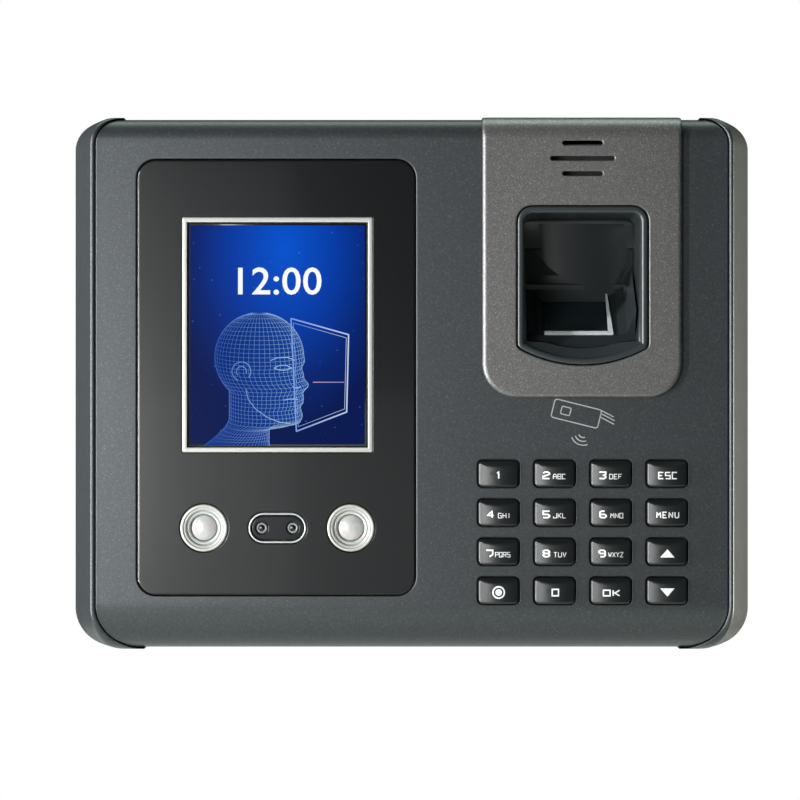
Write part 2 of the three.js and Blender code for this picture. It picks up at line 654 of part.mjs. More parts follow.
function displayBorder() {
  const front = DEEP + BORDER_PROUD;
  const outer = roundedRectangle(PICTURE_X, PICTURE_Z, BORDER_OUT_WIDE, BORDER_OUT_TALL, BORDER_CORNER);
  const inner = roundedRectangle(PICTURE_X, PICTURE_Z, BORDER_IN_WIDE, BORDER_IN_TALL, FIT);
  return cut(plate(outer, BORDER_BACK, front, 1), plate(inner, BORDER_BACK - OVER, front + OVER, 1));
}

function displayModule() {
  const halfWide = PICTURE_WIDE / 2;
  const halfTall = PICTURE_TALL / 2;
  const glass = block(PICTURE_X - halfWide, PICTURE_X + halfWide, MODULE_FRONT - ROOT, DEEP - PICTURE_SUNK,
    PICTURE_Z - halfTall, PICTURE_Z + halfTall);
  const bodyHalfWide = halfWide + MODULE_MARGIN_X;
  const bodyHalfTall = halfTall + MODULE_MARGIN_Z;
  const body = block(PICTURE_X - bodyHalfWide, PICTURE_X + bodyHalfWide, MODULE_BACK, MODULE_FRONT,
    PICTURE_Z - bodyHalfTall, PICTURE_Z + bodyHalfTall);
  return union(glass, body);
}

// Bright ring with a bowl inside it, open in the middle for the lens.
function lampBezel(x) {
  const hole = LAMP_LENS_R + FIT;
  return turned(x, LAMP_ROW_Z, [
    [hole, LAMP_BACK],
    [LAMP_R, LAMP_BACK],
    [LAMP_R, DEEP],
    [LAMP_R - LAMP_PROUD, DEEP + LAMP_PROUD],
    [LAMP_WELL_R + LAMP_LIP, DEEP + LAMP_PROUD],
    [LAMP_WELL_R, DEEP],
    [LAMP_WELL_R - LAMP_BOWL_STEP, DEEP - LAMP_BOWL_FALL],
    [hole, DEEP - LAMP_BOWL_DEEP],
    [hole, LAMP_BACK],
  ]);
}

function lampLens(x) {
  const base = DEEP - LENS_BASE;
  const dome = [0, 30, 60].map((degrees) => {
    const angle = THREE.MathUtils.degToRad(degrees);
    return [LAMP_LENS_R * Math.cos(angle), base + LENS_DOME * Math.sin(angle)];
  });
  return turned(x, LAMP_ROW_Z, [[0, LAMP_BACK], [LAMP_LENS_R, LAMP_BACK], ...dome, [0, base + LENS_DOME]]);
}

function cameraRing() {
  const back = WINDOW_BACK - CAMERA_RING_BEHIND;
  const front = DEEP + CAMERA_PROUD;
  const middle = plate(cameraOutline(-CAMERA_RING), back - OVER, front + OVER, 3);
  return cut(plate(cameraOutline(0), back, front, 3), middle);
}

function lensPlaces() {
  return [PICTURE_X - LENS_SPREAD, PICTURE_X + LENS_SPREAD];
}

function cameraGlass() {
  const front = DEEP - FIT;
  return cut(
    plate(cameraOutline(-CAMERA_RING - FIT), front - CAMERA_GLASS, front, 3),
    ...lensPlaces().map((x) => rod(x, LAMP_ROW_Z, LENS_R + FIT, front - CAMERA_GLASS - OVER, front + OVER)),
  );
}

function cameraLens(x) {
  const front = DEEP - FIT;
  const neck = front - CAMERA_GLASS - LENS_BEHIND;
  return turned(x, LAMP_ROW_Z, [
    [0, LAMP_BACK],
    [LENS_R + LENS_FOOT, LAMP_BACK],
    [LENS_R + LENS_FOOT, neck - LENS_NECK],
    [LENS_R, neck],
    [LENS_R, front - LENS_EDGE],
    [LENS_R - LENS_EDGE, front],
    [LENS_R - 2 * LENS_EDGE, front - LENS_EDGE],
    [0, front - LENS_EDGE / 2],
  ], 12);
}

function lampBoard() {
  const shape = roundedRectangle(PICTURE_X, LAMP_ROW_Z, LAMP_BOARD_WIDE, LAMP_BOARD_TALL, BOARD_CORNER);
  return plate(shape, LAMP_BOARD_FRONT - LAMP_BOARD_THICK, LAMP_BOARD_FRONT);
}

// ---------------------------------------------------------------- bezel, finger well and sensor

function sensorBezel() {
  const innerTop = COVER_HALF_TALL + FIT;
  const innerRoll = TOP_ROLL + FIT;
  const outer = archShape(BEZEL_FRONT, BEZEL_BACK, innerTop + BEZEL_TOP_THICK, BEZEL_BOTTOM - PAST,
    innerRoll + BEZEL_TOP_THICK, OVER);
  const inner = archShape(DEEP + FIT, -PAST, innerTop, BEZEL_BOTTOM - 2 * PAST, innerRoll, OVER);
  const front = roundedOutline(BEZEL_X, BEZEL_WIDE / 2, BEZEL_BOTTOM, HALF_TALL + 2 * PAST, OVER,
    BEZEL_CORNER);
  const shell = cut(slab(outer, 0, HALF_WIDE), slab(inner, -PAST, HALF_WIDE + PAST));
  const slots = SLOT_WIDTHS.map((wide, down) => plate(
    roundedRectangle(WELL_X, SLOT_TOP_Z - down * SLOT_PITCH, wide, SLOT_HIGH, SLOT_HIGH / 2 - 0.01),
    DEEP - PAST, DEEP + PAST, 2));
  return cut(
    shell.intersect(plate(front, -PAST, DEEP + PAST)),
    plate(fingerOutline(0), DEEP - PAST, DEEP + PAST),
    ...slots,
  );
}

// The slanted floor that the fingertip lies on: its middle, and its directions along and out of the slope.
function slope() {
  const start = new THREE.Vector2(DEEP - SLOPE_START_D, WELL_BOTTOM + SLOPE_START_Z);
  const end = new THREE.Vector2(DEEP - SLOPE_END_D, WELL_BOTTOM + SLOPE_END_Z);
  const along = end.clone().sub(start).normalize();
  const out = new THREE.Vector2(along.y, -along.x);
  return { start, end, along, out, middle: start.clone().add(end).multiplyScalar(0.5) };
}

// A block that lies along the slope between two heights over it.
function slopeBlock(wide, long, low, high) {
  const { middle, along, out } = slope();
  const corner = (s, n) => {
    const p = middle.clone().addScaledVector(along, s).addScaledVector(out, n);
    return [p.x, p.y];
  };
  const shape = polygon([
    corner(-long / 2, low), corner(-long / 2, high), corner(long / 2, high), corner(long / 2, low),
  ]);
  return slab(shape, WELL_X - wide / 2, WELL_X + wide / 2);
}

function sensorWell() {
  const { start, end } = slope();
  const lipZ = WELL_BOTTOM + WELL_RIM;
  const roof = WELL_TOP - WELL_RIM;
  const shelf = end.y + WELL_WALL;
  const inside = polygon([
    [WELL_FRONT + PAST, lipZ - SLOPE_LIP], [WELL_FRONT, lipZ], [start.x + SLOPE_LIP, start.y - SLOPE_LIP],
    [start.x, start.y], [end.x, end.y], [end.x, shelf],
    [WELL_BACK + WELL_SHELF_STEP, shelf + WELL_SHELF_RISE],
    [WELL_BACK, shelf + WELL_SHELF_RISE + WELL_EASE], [WELL_BACK, roof - WELL_EASE],
    [WELL_BACK + WELL_EASE, roof], [WELL_FRONT + PAST, roof + WELL_EASE / 2],
  ]);
  const back = WELL_BACK - WELL_WALL;
  const outside = polygon([
    [WELL_FRONT, WELL_BOTTOM - PAST], [COVER_INSIDE - OVER, WELL_BOTTOM - PAST],
    [start.x - SLOPE_WALL_D, start.y - SLOPE_WALL_Z], [end.x - SLOPE_WALL_D, end.y - SLOPE_WALL_Z],
    [back, end.y + WELL_SHELF_STEP], [back, WELL_TOP], [WELL_FRONT, WELL_TOP + PAST],
  ]);
  const half = WELL_WIDE / 2;
  const outer = slab(outside, WELL_X - half, WELL_X + half).intersect(
    plate(fingerOutline(-FIT), -PAST, WELL_FRONT));
  const flangeFront = COVER_INSIDE - FIT;
  const flange = plate(fingerOutline(WELL_FLANGE), flangeFront - WELL_FLANGE_THICK, flangeFront);
  const hollow = slab(inside, WELL_X - half + WELL_RIM, WELL_X + half - WELL_RIM).intersect(
    plate(fingerOutline(-WELL_RIM), -PAST, WELL_FRONT + PAST));
  const prismHole = slopeBlock(PRISM_WIDE + 2 * FIT, PRISM_LONG + 2 * FIT, -PRISM_THICK - PAST, PAST);
  return cut(union(outer, flange), hollow, prismHole);
}

function sensorPrism() {
  return slopeBlock(PRISM_WIDE, PRISM_LONG, -PRISM_SUNK - PRISM_THICK, -PRISM_SUNK);
}

// Housing of the image sensor: a block behind the slope with a pocket for the back of the prism.
function sensorModule() {
  const top = -WELL_WALL - SENSOR_GAP;
  const pocketFloor = -PRISM_SUNK - PRISM_THICK - FIT;
  return cut(
    slopeBlock(SENSOR_WIDE, SENSOR_LONG, top - SENSOR_THICK, top),
    slopeBlock(PRISM_WIDE + 2 * FIT, PRISM_LONG + 2 * FIT, pocketFloor, PAST),
  );
}

function speaker() {
  const front = COVER_INSIDE - FIT;
  const shape = roundedRectangle(WELL_X, SPEAKER_Z, SPEAKER_WIDE, SPEAKER_TALL, 2);
  const cone = roundedRectangle(WELL_X, SPEAKER_Z, SPEAKER_WIDE - 3 * SPEAKER_EDGE,
    SPEAKER_TALL - 3 * SPEAKER_EDGE, SPEAKER_EDGE);
  const body = plate(shape, front - SPEAKER_THICK, front);
  return cut(body, plate(cone, front - SPEAKER_CONE_DEEP, front + OVER));
}

// ---------------------------------------------------------------- keypad

// A crowned cap with the flange that holds it behind the cover and the plunger that reaches the board.
function keycap(x, z) {
  const front = DEEP + KEY_PROUD;
  const cap = plate(roundedRectangle(x, z, KEY_WIDE, KEY_TALL, KEY_CORNER), KEY_FLANGE_BACK, front, 1);
  const halfWide = KEY_WIDE / 2;
  const crownRadius = (halfWide ** 2 + KEY_CROWN ** 2) / (2 * KEY_CROWN);
  const barrel = new THREE.CylinderGeometry(crownRadius, crownRadius, KEY_TALL + 2 * PAST, 44);
  barrel.rotateX(Math.PI / 2);
  barrel.translate(x, -(front - crownRadius), z);
  const reach = KEY_TALL / 2;
  const brow = polygon([
    [front - KEY_BROW_FALL, z + reach + 0.01], [front + OVER, z + reach - KEY_BROW_TALL - KEY_CROWN],
    [front + OVER, z + reach + OVER], [front - KEY_BROW_FALL, z + reach + OVER],
  ]);
  const flange = plate(
    roundedRectangle(x, z, KEY_WIDE + 2 * KEY_FLANGE, KEY_TALL + 2 * KEY_FLANGE, KEY_CORNER),
    KEY_FLANGE_BACK, KEY_FLANGE_FRONT, 1);
  const crowned = cut(cap.intersect(solid(barrel)), slab(brow, x - KEY_WIDE, x + KEY_WIDE));
  return union(crowned, flange, rod(x, z, PLUNGER_R, PLUNGER_END, KEY_FLANGE_BACK + FIT, 8));
}

// Rubber sheet with a skirt round its edge and a hole for each plunger.
function keypadMat() {
  const outline = (grow) => roundedRectangle(KEYPAD_X, KEYPAD_Z, MAT_WIDE + 2 * grow, MAT_TALL + 2 * grow,
    MAT_CORNER + grow);
  const holes = keyPlaces().map(({ x, z }) => (
    rod(x, z, PLUNGER_R + 2 * FIT, MAT_BACK - OVER, MAT_FRONT + OVER, 8)));
  return cut(
    plate(outline(0), MAT_BACK - MAT_SKIRT, MAT_FRONT),
    plate(outline(-MAT_EDGE), MAT_BACK - MAT_SKIRT - OVER, MAT_BACK),
    ...holes,
  );
}

function keypadBoard() {
  const shape = roundedRectangle(KEYPAD_X, KEYPAD_Z, MAT_WIDE, MAT_TALL, MAT_CORNER);
  return plate(shape, KEY_BOARD_BACK, KEY_BOARD_FRONT);
}

function antennaBoard() {
  const front = COVER_INSIDE - FIT;
  const half = ANTENNA_WIDE / 2;
  const inner = half - ANTENNA_TRACK;
  const shape = roundedOutline(KEYPAD_X, half, ANTENNA_BOTTOM, ANTENNA_TOP, BOARD_CORNER, BOARD_CORNER);
  const window = roundedOutline(KEYPAD_X, inner, ANTENNA_BOTTOM + ANTENNA_TRACK, ANTENNA_TOP - ANTENNA_TRACK,
    BOARD_CORNER, BOARD_CORNER);
  return cut(plate(shape, front - ANTENNA_THICK, front), plate(window, front - PAST, front + OVER));
}

// ---------------------------------------------------------------- main board, battery, sockets and cables

function mainBoard() {
  const shape = polygon([
    [MAIN_LEFT, MAIN_BOTTOM], [MAIN_RIGHT, MAIN_BOTTOM], [MAIN_RIGHT, MAIN_STEP_Z],
    [MAIN_STEP_X, MAIN_STEP_Z], [MAIN_STEP_X, MAIN_TOP], [MAIN_LEFT, MAIN_TOP],
  ]);
  return cut(
    plate(shape, MAIN_BOARD_AT, MAIN_BOARD_FRONT),
    ...boardScrewPlaces().map(([x, z]) => (
      rod(x, z, BOARD_SCREW_R + FIT, MAIN_BOARD_AT - OVER, MAIN_BOARD_FRONT + OVER))),
  );
}

function socketBody(socket) {
  const front = MAIN_BOARD_AT - FIT;
  return block(socket.x - socket.wide / 2, socket.x + socket.wide / 2, front - socket.thick, front,
    SOCKET_END, SOCKET_END + socket.long);
}

function networkSocket() {
  const middle = MAIN_BOARD_AT - FIT - NETWORK.thick / 2;
  const half = NETWORK.portWide / 2;
  const catchHalf = NETWORK.catchWide / 2;
  const deep = NETWORK.portThick / 2;
  return cut(
    socketBody(NETWORK),
    block(NETWORK.x - half, NETWORK.x + half, middle - deep, middle + deep, SOCKET_END - OVER,
      SOCKET_END + NETWORK.portDeep),
    block(NETWORK.x - catchHalf, NETWORK.x + catchHalf, middle - deep - NETWORK.catchThick, middle,
      SOCKET_END - OVER, SOCKET_END + NETWORK.catchDeep),
  );
}

function usbSocket() {
  const middle = MAIN_BOARD_AT - FIT - USB.thick / 2;
  const half = USB.portWide / 2;
  const deep = USB.portThick / 2;
  return cut(
    socketBody(USB),
    block(USB.x - half, USB.x + half, middle - deep, middle + deep, SOCKET_END - OVER,
      SOCKET_END + USB.portDeep),
  );
}

// An upright round bar, used for the bore, the pin and the screw that stand along Z.
function uprightRod(x, depth, radius, z0, z1, segments = 12) {
  const geometry = new THREE.CylinderGeometry(radius, radius, z1 - z0, segments);
  geometry.rotateX(Math.PI / 2);
  geometry.translate(x, -depth, (z0 + z1) / 2);
  return solid(geometry);
}

function powerSocket() {
  const middle = MAIN_BOARD_AT - FIT - POWER.thick / 2;
  const end = SOCKET_END + POWER.boreDeep;
  const bore = uprightRod(POWER.x, middle, POWER.boreR, SOCKET_END - OVER, end, 14);
  const pin = uprightRod(POWER.x, middle, POWER.pinR, SOCKET_END + OVER, end + ROOT, 8);
  return union(cut(socketBody(POWER), bore), pin);
}

function batteryPack() {
  const front = MAIN_BOARD_AT - BATTERY_GAP;
  const shape = roundedRectangle(BATTERY_X, BATTERY_Z, BATTERY_WIDE, BATTERY_TALL, BATTERY_CORNER);
  return plate(shape, front - BATTERY_THICK, front);
}

function displayCable() {
  const top = PICTURE_Z - PICTURE_TALL / 2 + DISPLAY_FLEX_TOP;
  const near = MODULE_BACK - 2 * FIT;
  const far = MAIN_BOARD_FRONT + 2 * FIT;
  const reach = near - far;
  const path = [
    [near, top], [near, top - 8], [near - reach * 0.15, top - 10.5], [near - reach * 0.5, top - 12],
    [far + reach * 0.15, top - 13.5], [far, top - 16], [far, top - 22],
  ];
  return slab(ribbonShape(path, FLEX_THICK), PICTURE_X - DISPLAY_FLEX_WIDE / 2,
    PICTURE_X + DISPLAY_FLEX_WIDE / 2);
}

function keypadCable() {
  const near = KEY_BOARD_BACK - 2 * FIT;
  const far = MAIN_BOARD_FRONT + 2 * FIT;
  const top = KEYPAD_Z + KEYPAD_FLEX_TOP;
  const middle = (near + far) / 2;
  const path = [[near, top], [near, top - 6], [middle, top - 8.5], [far, top - 11], [far, top - 17]];
  return slab(ribbonShape(path, FLEX_THICK), KEYPAD_X - KEYPAD_FLEX_WIDE / 2,
    KEYPAD_X + KEYPAD_FLEX_WIDE / 2);
}

// ---------------------------------------------------------------- fasteners and wall plate

function caseScrew(x, z) {
  const under = BACK_GAP + HEAD_RECESS - FIT;
  const top = under - CASE_HEAD_THICK;
  const screw = turned(x, z, [
    [0, top],
    [CASE_HEAD_R, top],
    [CASE_HEAD_R, under],
    [CASE_SCREW_R, under],
    [CASE_SCREW_R, under + CASE_SCREW_LONG - CASE_SCREW_TIP],
    [CASE_SCREW_R - CASE_SCREW_TIP, under + CASE_SCREW_LONG],
    [0, under + CASE_SCREW_LONG],
  ], 12);
  const arm = (halfWide, halfTall) => (
    block(x - halfWide, x + halfWide, top - OVER, top + CROSS_DEEP, z - halfTall, z + halfTall));
  return cut(screw, arm(CROSS_HALF_WIDE, CROSS_HALF_THICK), arm(CROSS_HALF_THICK, CROSS_HALF_WIDE));
}

function boardScrew(x, z) {
  const seat = MAIN_BOARD_FRONT + FIT;
  return turned(x, z, [
    [0, MAIN_BOARD_FRONT - BOARD_SCREW_LONG],
    [BOARD_SCREW_R, MAIN_BOARD_FRONT - BOARD_SCREW_LONG],
    [BOARD_SCREW_R, seat],
    [BOARD_SCREW_HEAD_R, seat],
    [BOARD_SCREW_HEAD_R, seat + BOARD_SCREW_HEAD - BOARD_SCREW_BEVEL],
    [BOARD_SCREW_HEAD_R - BOARD_SCREW_BEVEL, seat + BOARD_SCREW_HEAD],
    [0, seat + BOARD_SCREW_HEAD],
  ], 12);
}

function wallPlate() {
  const sheet = plate(roundedRectangle(0, 0, PLATE_WIDE, PLATE_TALL, PLATE_CORNER), 0, PLATE_THICK);
  const hooks = hookPlaces().flatMap(([x, z]) => {
    const half = HOOK_WIDE / 2;
    const lip = CASE_FLOOR + FIT;
    return [
      block(x - half, x + half, PLATE_THICK - ROOT, lip + HOOK_THICK, z, z + HOOK_THICK),
      block(x - half, x + half, lip, lip + HOOK_THICK, z, z + HOOK_THICK + HOOK_LIP),
    ];
  });
  const bottom = -PLATE_TALL / 2;
  const tab = block(-TAB_WIDE / 2, TAB_WIDE / 2, 0, TAB_LONG, bottom, bottom + PLATE_THICK);
  const wallHoles = [-1, 1].flatMap((side) => [-1, 1].map((level) => (
    rod(side * WALL_HOLE_X, level * WALL_HOLE_Z, WALL_HOLE_R, -OVER, PLATE_THICK + OVER))));
  return cut(
    union(sheet, tab, ...hooks),
    ...wallHoles,
    plateScrewRod(PLATE_SCREW_R + FIT, bottom - OVER, bottom + PLATE_THICK + OVER),
  );
}

function plateScrewRod(radius, z0, z1) {
  return uprightRod(0, PLATE_SCREW_DEPTH, radius, z0, z1);
}

// Locks the casing to the tab of the wall plate, from inside the connector bay.
function plateScrew() {
  const under = BAY_TOP - FIT;
  const face = under - PLATE_SCREW_HEAD;
  const slotHalf = PLATE_SCREW_HEAD_R - CROSS_HALF_THICK;
  return cut(
    union(
      plateScrewRod(PLATE_SCREW_HEAD_R, face, under),
      plateScrewRod(PLATE_SCREW_R, under - ROOT, -PLATE_TALL / 2 + PLATE_THICK + PLATE_SCREW_TIP),
    ),
    block(-SCREW_SLOT_HALF, SCREW_SLOT_HALF, PLATE_SCREW_DEPTH - slotHalf, PLATE_SCREW_DEPTH + slotHalf,
      face - OVER, face + SCREW_SLOT_DEEP),
  );
}

// ---------------------------------------------------------------- finishes and assembly

const FINISHES = {
  charcoalPaint: { color: 0x4a4e50, roughness: 0.42, metalness: 0.35 },
  bezelPaint: { color: 0x57524f, roughness: 0.4, metalness: 0.4 },
  glossBlack: { color: 0x1d2022, roughness: 0.12, metalness: 0 },
  silverTrim: { color: 0xc9cbcb, roughness: 0.25, metalness: 0.9 },
  displayGlass: { color: 0x16309a, roughness: 0.1, metalness: 0 },
  clearLens: { color: 0xd8dad8, roughness: 0.15, metalness: 0 },
  sensorGlass: { color: 0x3b4a50, roughness: 0.05, metalness: 0 },
  cameraGlass: { color: 0x0d1014, roughness: 0.05, metalness: 0 },
  rubber: { color: 0x2b2b2d, roughness: 0.8, metalness: 0 },
  circuitGreen: { color: 0x1f5a37, roughness: 0.5, metalness: 0 },
  tin: { color: 0xb4b6b4, roughness: 0.35, metalness: 0.9 },
  darkPlastic: { color: 0x242628, roughness: 0.55, metalness: 0 },
  cellWrap: { color: 0x2f6d9e, roughness: 0.5, metalness: 0 },
  flexAmber: { color: 0xb5762c, roughness: 0.45, metalness: 0 },
  zincSteel: { color: 0xa3a7a8, roughness: 0.4, metalness: 0.9 },
};

function piece(name, finish, made) {
  const { numProp, vertProperties, triVerts } = made.getMesh();
  const corners = new Float32Array(triVerts.length * 3);
  triVerts.forEach((vertex, i) => {
    for (let axis = 0; axis < 3; axis += 1) corners[i * 3 + axis] = vertProperties[vertex * numProp + axis];
  });
  const geometry = new THREE.BufferGeometry();
  geometry.setAttribute('position', new THREE.BufferAttribute(corners, 3));
  geometry.computeVertexNormals();
  const mesh = new THREE.Mesh(geometry, new THREE.MeshStandardMaterial(FINISHES[finish]));
  mesh.name = name;
  return mesh;
}

const [leftLamp, rightLamp] = lampPlaces();
const [leftLens, rightLens] = lensPlaces();

const terminal = new THREE.Group();

terminal.add(
  piece('rear_casing', 'charcoalPaint', rearCasing()),
  piece('front_cover', 'charcoalPaint', frontCover()),
  piece('window_panel', 'glossBlack', windowPanel()),
  piece('display_border', 'silverTrim', displayBorder()),
  piece('display_module', 'displayGlass', displayModule()),
  piece('lamp_left_bezel', 'silverTrim', lampBezel(leftLamp)),
  piece('lamp_right_bezel', 'silverTrim', lampBezel(rightLamp)),
  piece('lamp_left_lens', 'clearLens', lampLens(leftLamp)),
  piece('lamp_right_lens', 'clearLens', lampLens(rightLamp)),
  piece('lamp_board', 'circuitGreen', lampBoard()),
  piece('camera_ring', 'silverTrim', cameraRing()),
  piece('camera_glass', 'cameraGlass', cameraGlass()),
  piece('camera_lens_left', 'cameraGlass', cameraLens(leftLens)),
  piece('camera_lens_right', 'cameraGlass', cameraLens(rightLens)),
  piece('sensor_bezel', 'bezelPaint', sensorBezel()),
  piece('sensor_well', 'glossBlack', sensorWell()),
  piece('sensor_prism', 'sensorGlass', sensorPrism()),
  piece('sensor_module', 'darkPlastic', sensorModule()),
  piece('speaker', 'darkPlastic', speaker()),
  piece('keypad_mat', 'rubber', keypadMat()),
  piece('keypad_board', 'circuitGreen', keypadBoard()),
  piece('antenna_board', 'circuitGreen', antennaBoard()),
  piece('main_board', 'circuitGreen', mainBoard()),
  piece('battery_pack', 'cellWrap', batteryPack()),
  piece('network_socket', 'tin', networkSocket()),
  piece('usb_socket', 'tin', usbSocket()),
  piece('power_socket', 'darkPlastic', powerSocket()),
  piece('display_cable', 'flexAmber', displayCable()),
  piece('keypad_cable', 'flexAmber', keypadCable()),
  piece('wall_plate', 'zincSteel', wallPlate()),
  piece('plate_screw', 'zincSteel', plateScrew()),
);

keyPlaces().forEach(({ name, x, z }) => terminal.add(piece(name, 'glossBlack', keycap(x, z))));

caseScrewPlaces().forEach(([x, z], i) => (
  terminal.add(piece(`case_screw_${i + 1}`, 'zincSteel', caseScrew(x, z)))));

boardScrewPlaces().forEach(([x, z], i) => (
  terminal.add(piece(`board_screw_${i + 1}`, 'zincSteel', boardScrew(x, z)))));

export default terminal;
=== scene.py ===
import math

import bmesh
import bpy
import numpy as np
from mathutils.geometry import delaunay_2d_cdt
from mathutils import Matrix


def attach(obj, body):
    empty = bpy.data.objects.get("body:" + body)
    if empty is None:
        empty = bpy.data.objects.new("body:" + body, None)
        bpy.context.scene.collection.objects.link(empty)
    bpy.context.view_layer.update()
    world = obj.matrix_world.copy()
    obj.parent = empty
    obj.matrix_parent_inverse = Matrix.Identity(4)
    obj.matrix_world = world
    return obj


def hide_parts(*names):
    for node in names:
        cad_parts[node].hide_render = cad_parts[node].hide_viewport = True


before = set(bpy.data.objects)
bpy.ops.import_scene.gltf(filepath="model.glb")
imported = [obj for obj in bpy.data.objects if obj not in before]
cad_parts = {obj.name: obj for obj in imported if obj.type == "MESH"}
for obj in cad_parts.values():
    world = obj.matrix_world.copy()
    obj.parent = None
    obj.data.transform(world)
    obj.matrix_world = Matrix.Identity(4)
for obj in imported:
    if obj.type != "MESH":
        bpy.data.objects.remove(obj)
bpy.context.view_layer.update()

# Sizes are millimetres. A point is (x, depth, z): x to the right of a person facing the terminal, depth out
# from the wall, z up. The depth d lies at y = -d.
MM = 0.001
WELD = 2e-6
GAP = 0.3                # clearance between pieces that fit each other

COVER_FRONT = 33.0
COVER_TOP = 68.8
TOP_ROLL = 5.5
BOTTOM_ROLL = 12.0
COVER_THICK = 2.2
COVER_BACK = 12.8        # depth at which the cover ends, over the top and under the bottom
RIM_FRONT = 33.3
SEAM = 12.4              # depth of the seam over the top and bottom
HALF_WIDE = 89.2
HALF_TALL = 69.2
CHEEK_INSIDE = 82.0
COVER_SIDE = 81.85
TOP_CORNER = 7.2
BOTTOM_CORNER = 12.0     # at the front
BOTTOM_CORNER_WIDEST = 10.2
WIDEST = 12              # depth at which the casing is widest
CHEEK_LEAN = 6.05        # how far the cheeks draw in at the front
CHEEK_DEEP = RIM_FRONT - WIDEST
COVER_STEP = 0.4         # the cover's corners are this much sharper than the casing's

WINDOW = (-35.1, 1.75, 35.9, 56.25)      # centre x, centre z, half width, half height
WINDOW_CORNER = 4.8
PICTURE = (-34.8, 12.75, 23.1, 28.85)
LAMP_Z = -37.2
LAMPS_X = (-53.8, -15.8)
LAMP_HOLE = 6.4
CAMERA_X = -34.8
LENSES_X = (CAMERA_X - 4, CAMERA_X + 4)
PICTURE_FACE = 32.72      # depth of the lowest lit element; the others lie just in front of it
WELL_X = 44.1
WELL_ARC_Z = 38.6
WELL_TOP = 46.2
BEZEL_FRONT = 34.5
BEZEL_X = 44.0
KEY_TOP = 34.6
KEYS = (("key_1", "key_2", "key_3", "key_esc"), ("key_4", "key_5", "key_6", "key_menu"),
        ("key_7", "key_8", "key_9", "key_up"), ("key_power", "key_0", "key_ok", "key_down"))
KEY_X = 44.15 + 14.52 * (np.arange(4) - 1.5)
KEY_Z = -38.25 - 10.09 * (np.arange(4) - 1.5)


# ---------------------------------------------------------------- materials

def linear(colour, alpha=1.0):
    """A hex sRGB colour as linear red, green, blue and alpha."""
    parts = np.array([int(colour[i:i + 2], 16) for i in (1, 3, 5)]) / 255
    low, high = parts / 12.92, ((parts + 0.055) / 1.055) ** 2.4
    return (*np.where(parts <= 0.04045, low, high).tolist(), alpha)


def add(tree, kind, sockets=None, stops=(), **settings):
    """Adds a node. A socket's value is a number, a colour or another node's output; stops are a ramp's
    (position, colour) pairs."""
    made = tree.nodes.new("ShaderNode" + kind)
    for name, value in settings.items():
        setattr(made, name, value)
    for number, (position, shade) in enumerate(stops):
        stop = made.color_ramp.elements[number] if number < 2 else made.color_ramp.elements.new(position)
        stop.position = position
        stop.color = shade
    for name, value in (sockets or {}).items():
        if isinstance(value, bpy.types.NodeSocket):
            tree.links.new(value, made.inputs[name])
        else:
            made.inputs[name].default_value = value
    return made


def material(name, **values):
    """A material with one Principled shader, whose uniform values are set on its own sockets."""
    made = bpy.data.materials.new(name)
    made.use_nodes = True
    tree = made.node_tree
    shader = tree.nodes["Principled BSDF"]
    for key, value in values.items():
        shader.inputs[key.replace("_", " ")].default_value = value
    return made, tree, shader


def object_place(tree, scale=(1.0, 1.0, 1.0)):
    """Object coordinates in millimetres, stretched by a scale."""
    place = add(tree, "TexCoord").outputs["Object"]
    return add(tree, "Mapping", {"Vector": place, "Scale": tuple(1000 * s for s in scale)}).outputs["Vector"]


def metallic_paint(name, dark, middle, light, fleck, roughness, metallic, grain):
    """Sprayed satin paint with aluminium flake over moulded ABS: a dark coat in which flakes of `grain`
    lie at all angles, most a little darker or lighter than the coat and a few that flash, over slow
    drifts in gloss."""
    made, tree, shader = material(name, Metallic=metallic, IOR=1.5)
    place = object_place(tree)
    cloud = add(tree, "TexNoise", {"Vector": place, "Scale": 0.35, "Detail": 5.0, "Roughness": 0.75})
    cells = add(tree, "TexVoronoi", {"Vector": place, "Scale": 1 / grain}, feature="F1")
    coat = add(tree, "ValToRGB", {"Fac": cells.outputs["Color"]},
               stops=((0.0, linear(dark)), (0.45, linear(middle)), (0.8, linear(light)),
                      (0.98, linear(fleck))))
    spread = add(tree, "MapRange", {"Value": cloud.outputs["Fac"], "To Min": roughness - 0.06,
                                    "To Max": roughness + 0.06})
    bump = add(tree, "Bump", {"Height": cloud.outputs["Fac"], "Strength": 0.09, "Distance": 0.05 * MM})
    tree.links.new(coat.outputs["Color"], shader.inputs["Base Color"])
    tree.links.new(spread.outputs[0], shader.inputs["Roughness"])
    tree.links.new(bump.outputs[0], shader.inputs["Normal"])
    return made


def satin_plastic(name, dark, light, roughness, texture_size, depth=0.02, **values):
    """Moulded plastic, ink, satin plating or a painted highlight: nearly even colour, with a fine texture of its
    own.
    """
    made, tree, shader = material(name, Roughness=roughness, **values)
    grain = add(tree, "TexNoise", {"Vector": object_place(tree), "Scale": 1 / texture_size, "Detail": 4.0})
    tint = add(tree, "ValToRGB", {"Fac": grain.outputs["Fac"]},
               stops=((0.3, linear(dark)), (0.7, linear(light))))
    bump = add(tree, "Bump", {"Height": grain.outputs["Fac"], "Strength": 0.25, "Distance": depth * MM})
    tree.links.new(tint.outputs["Color"], shader.inputs["Base Color"])
    tree.links.new(bump.outputs[0], shader.inputs["Normal"])
    return made


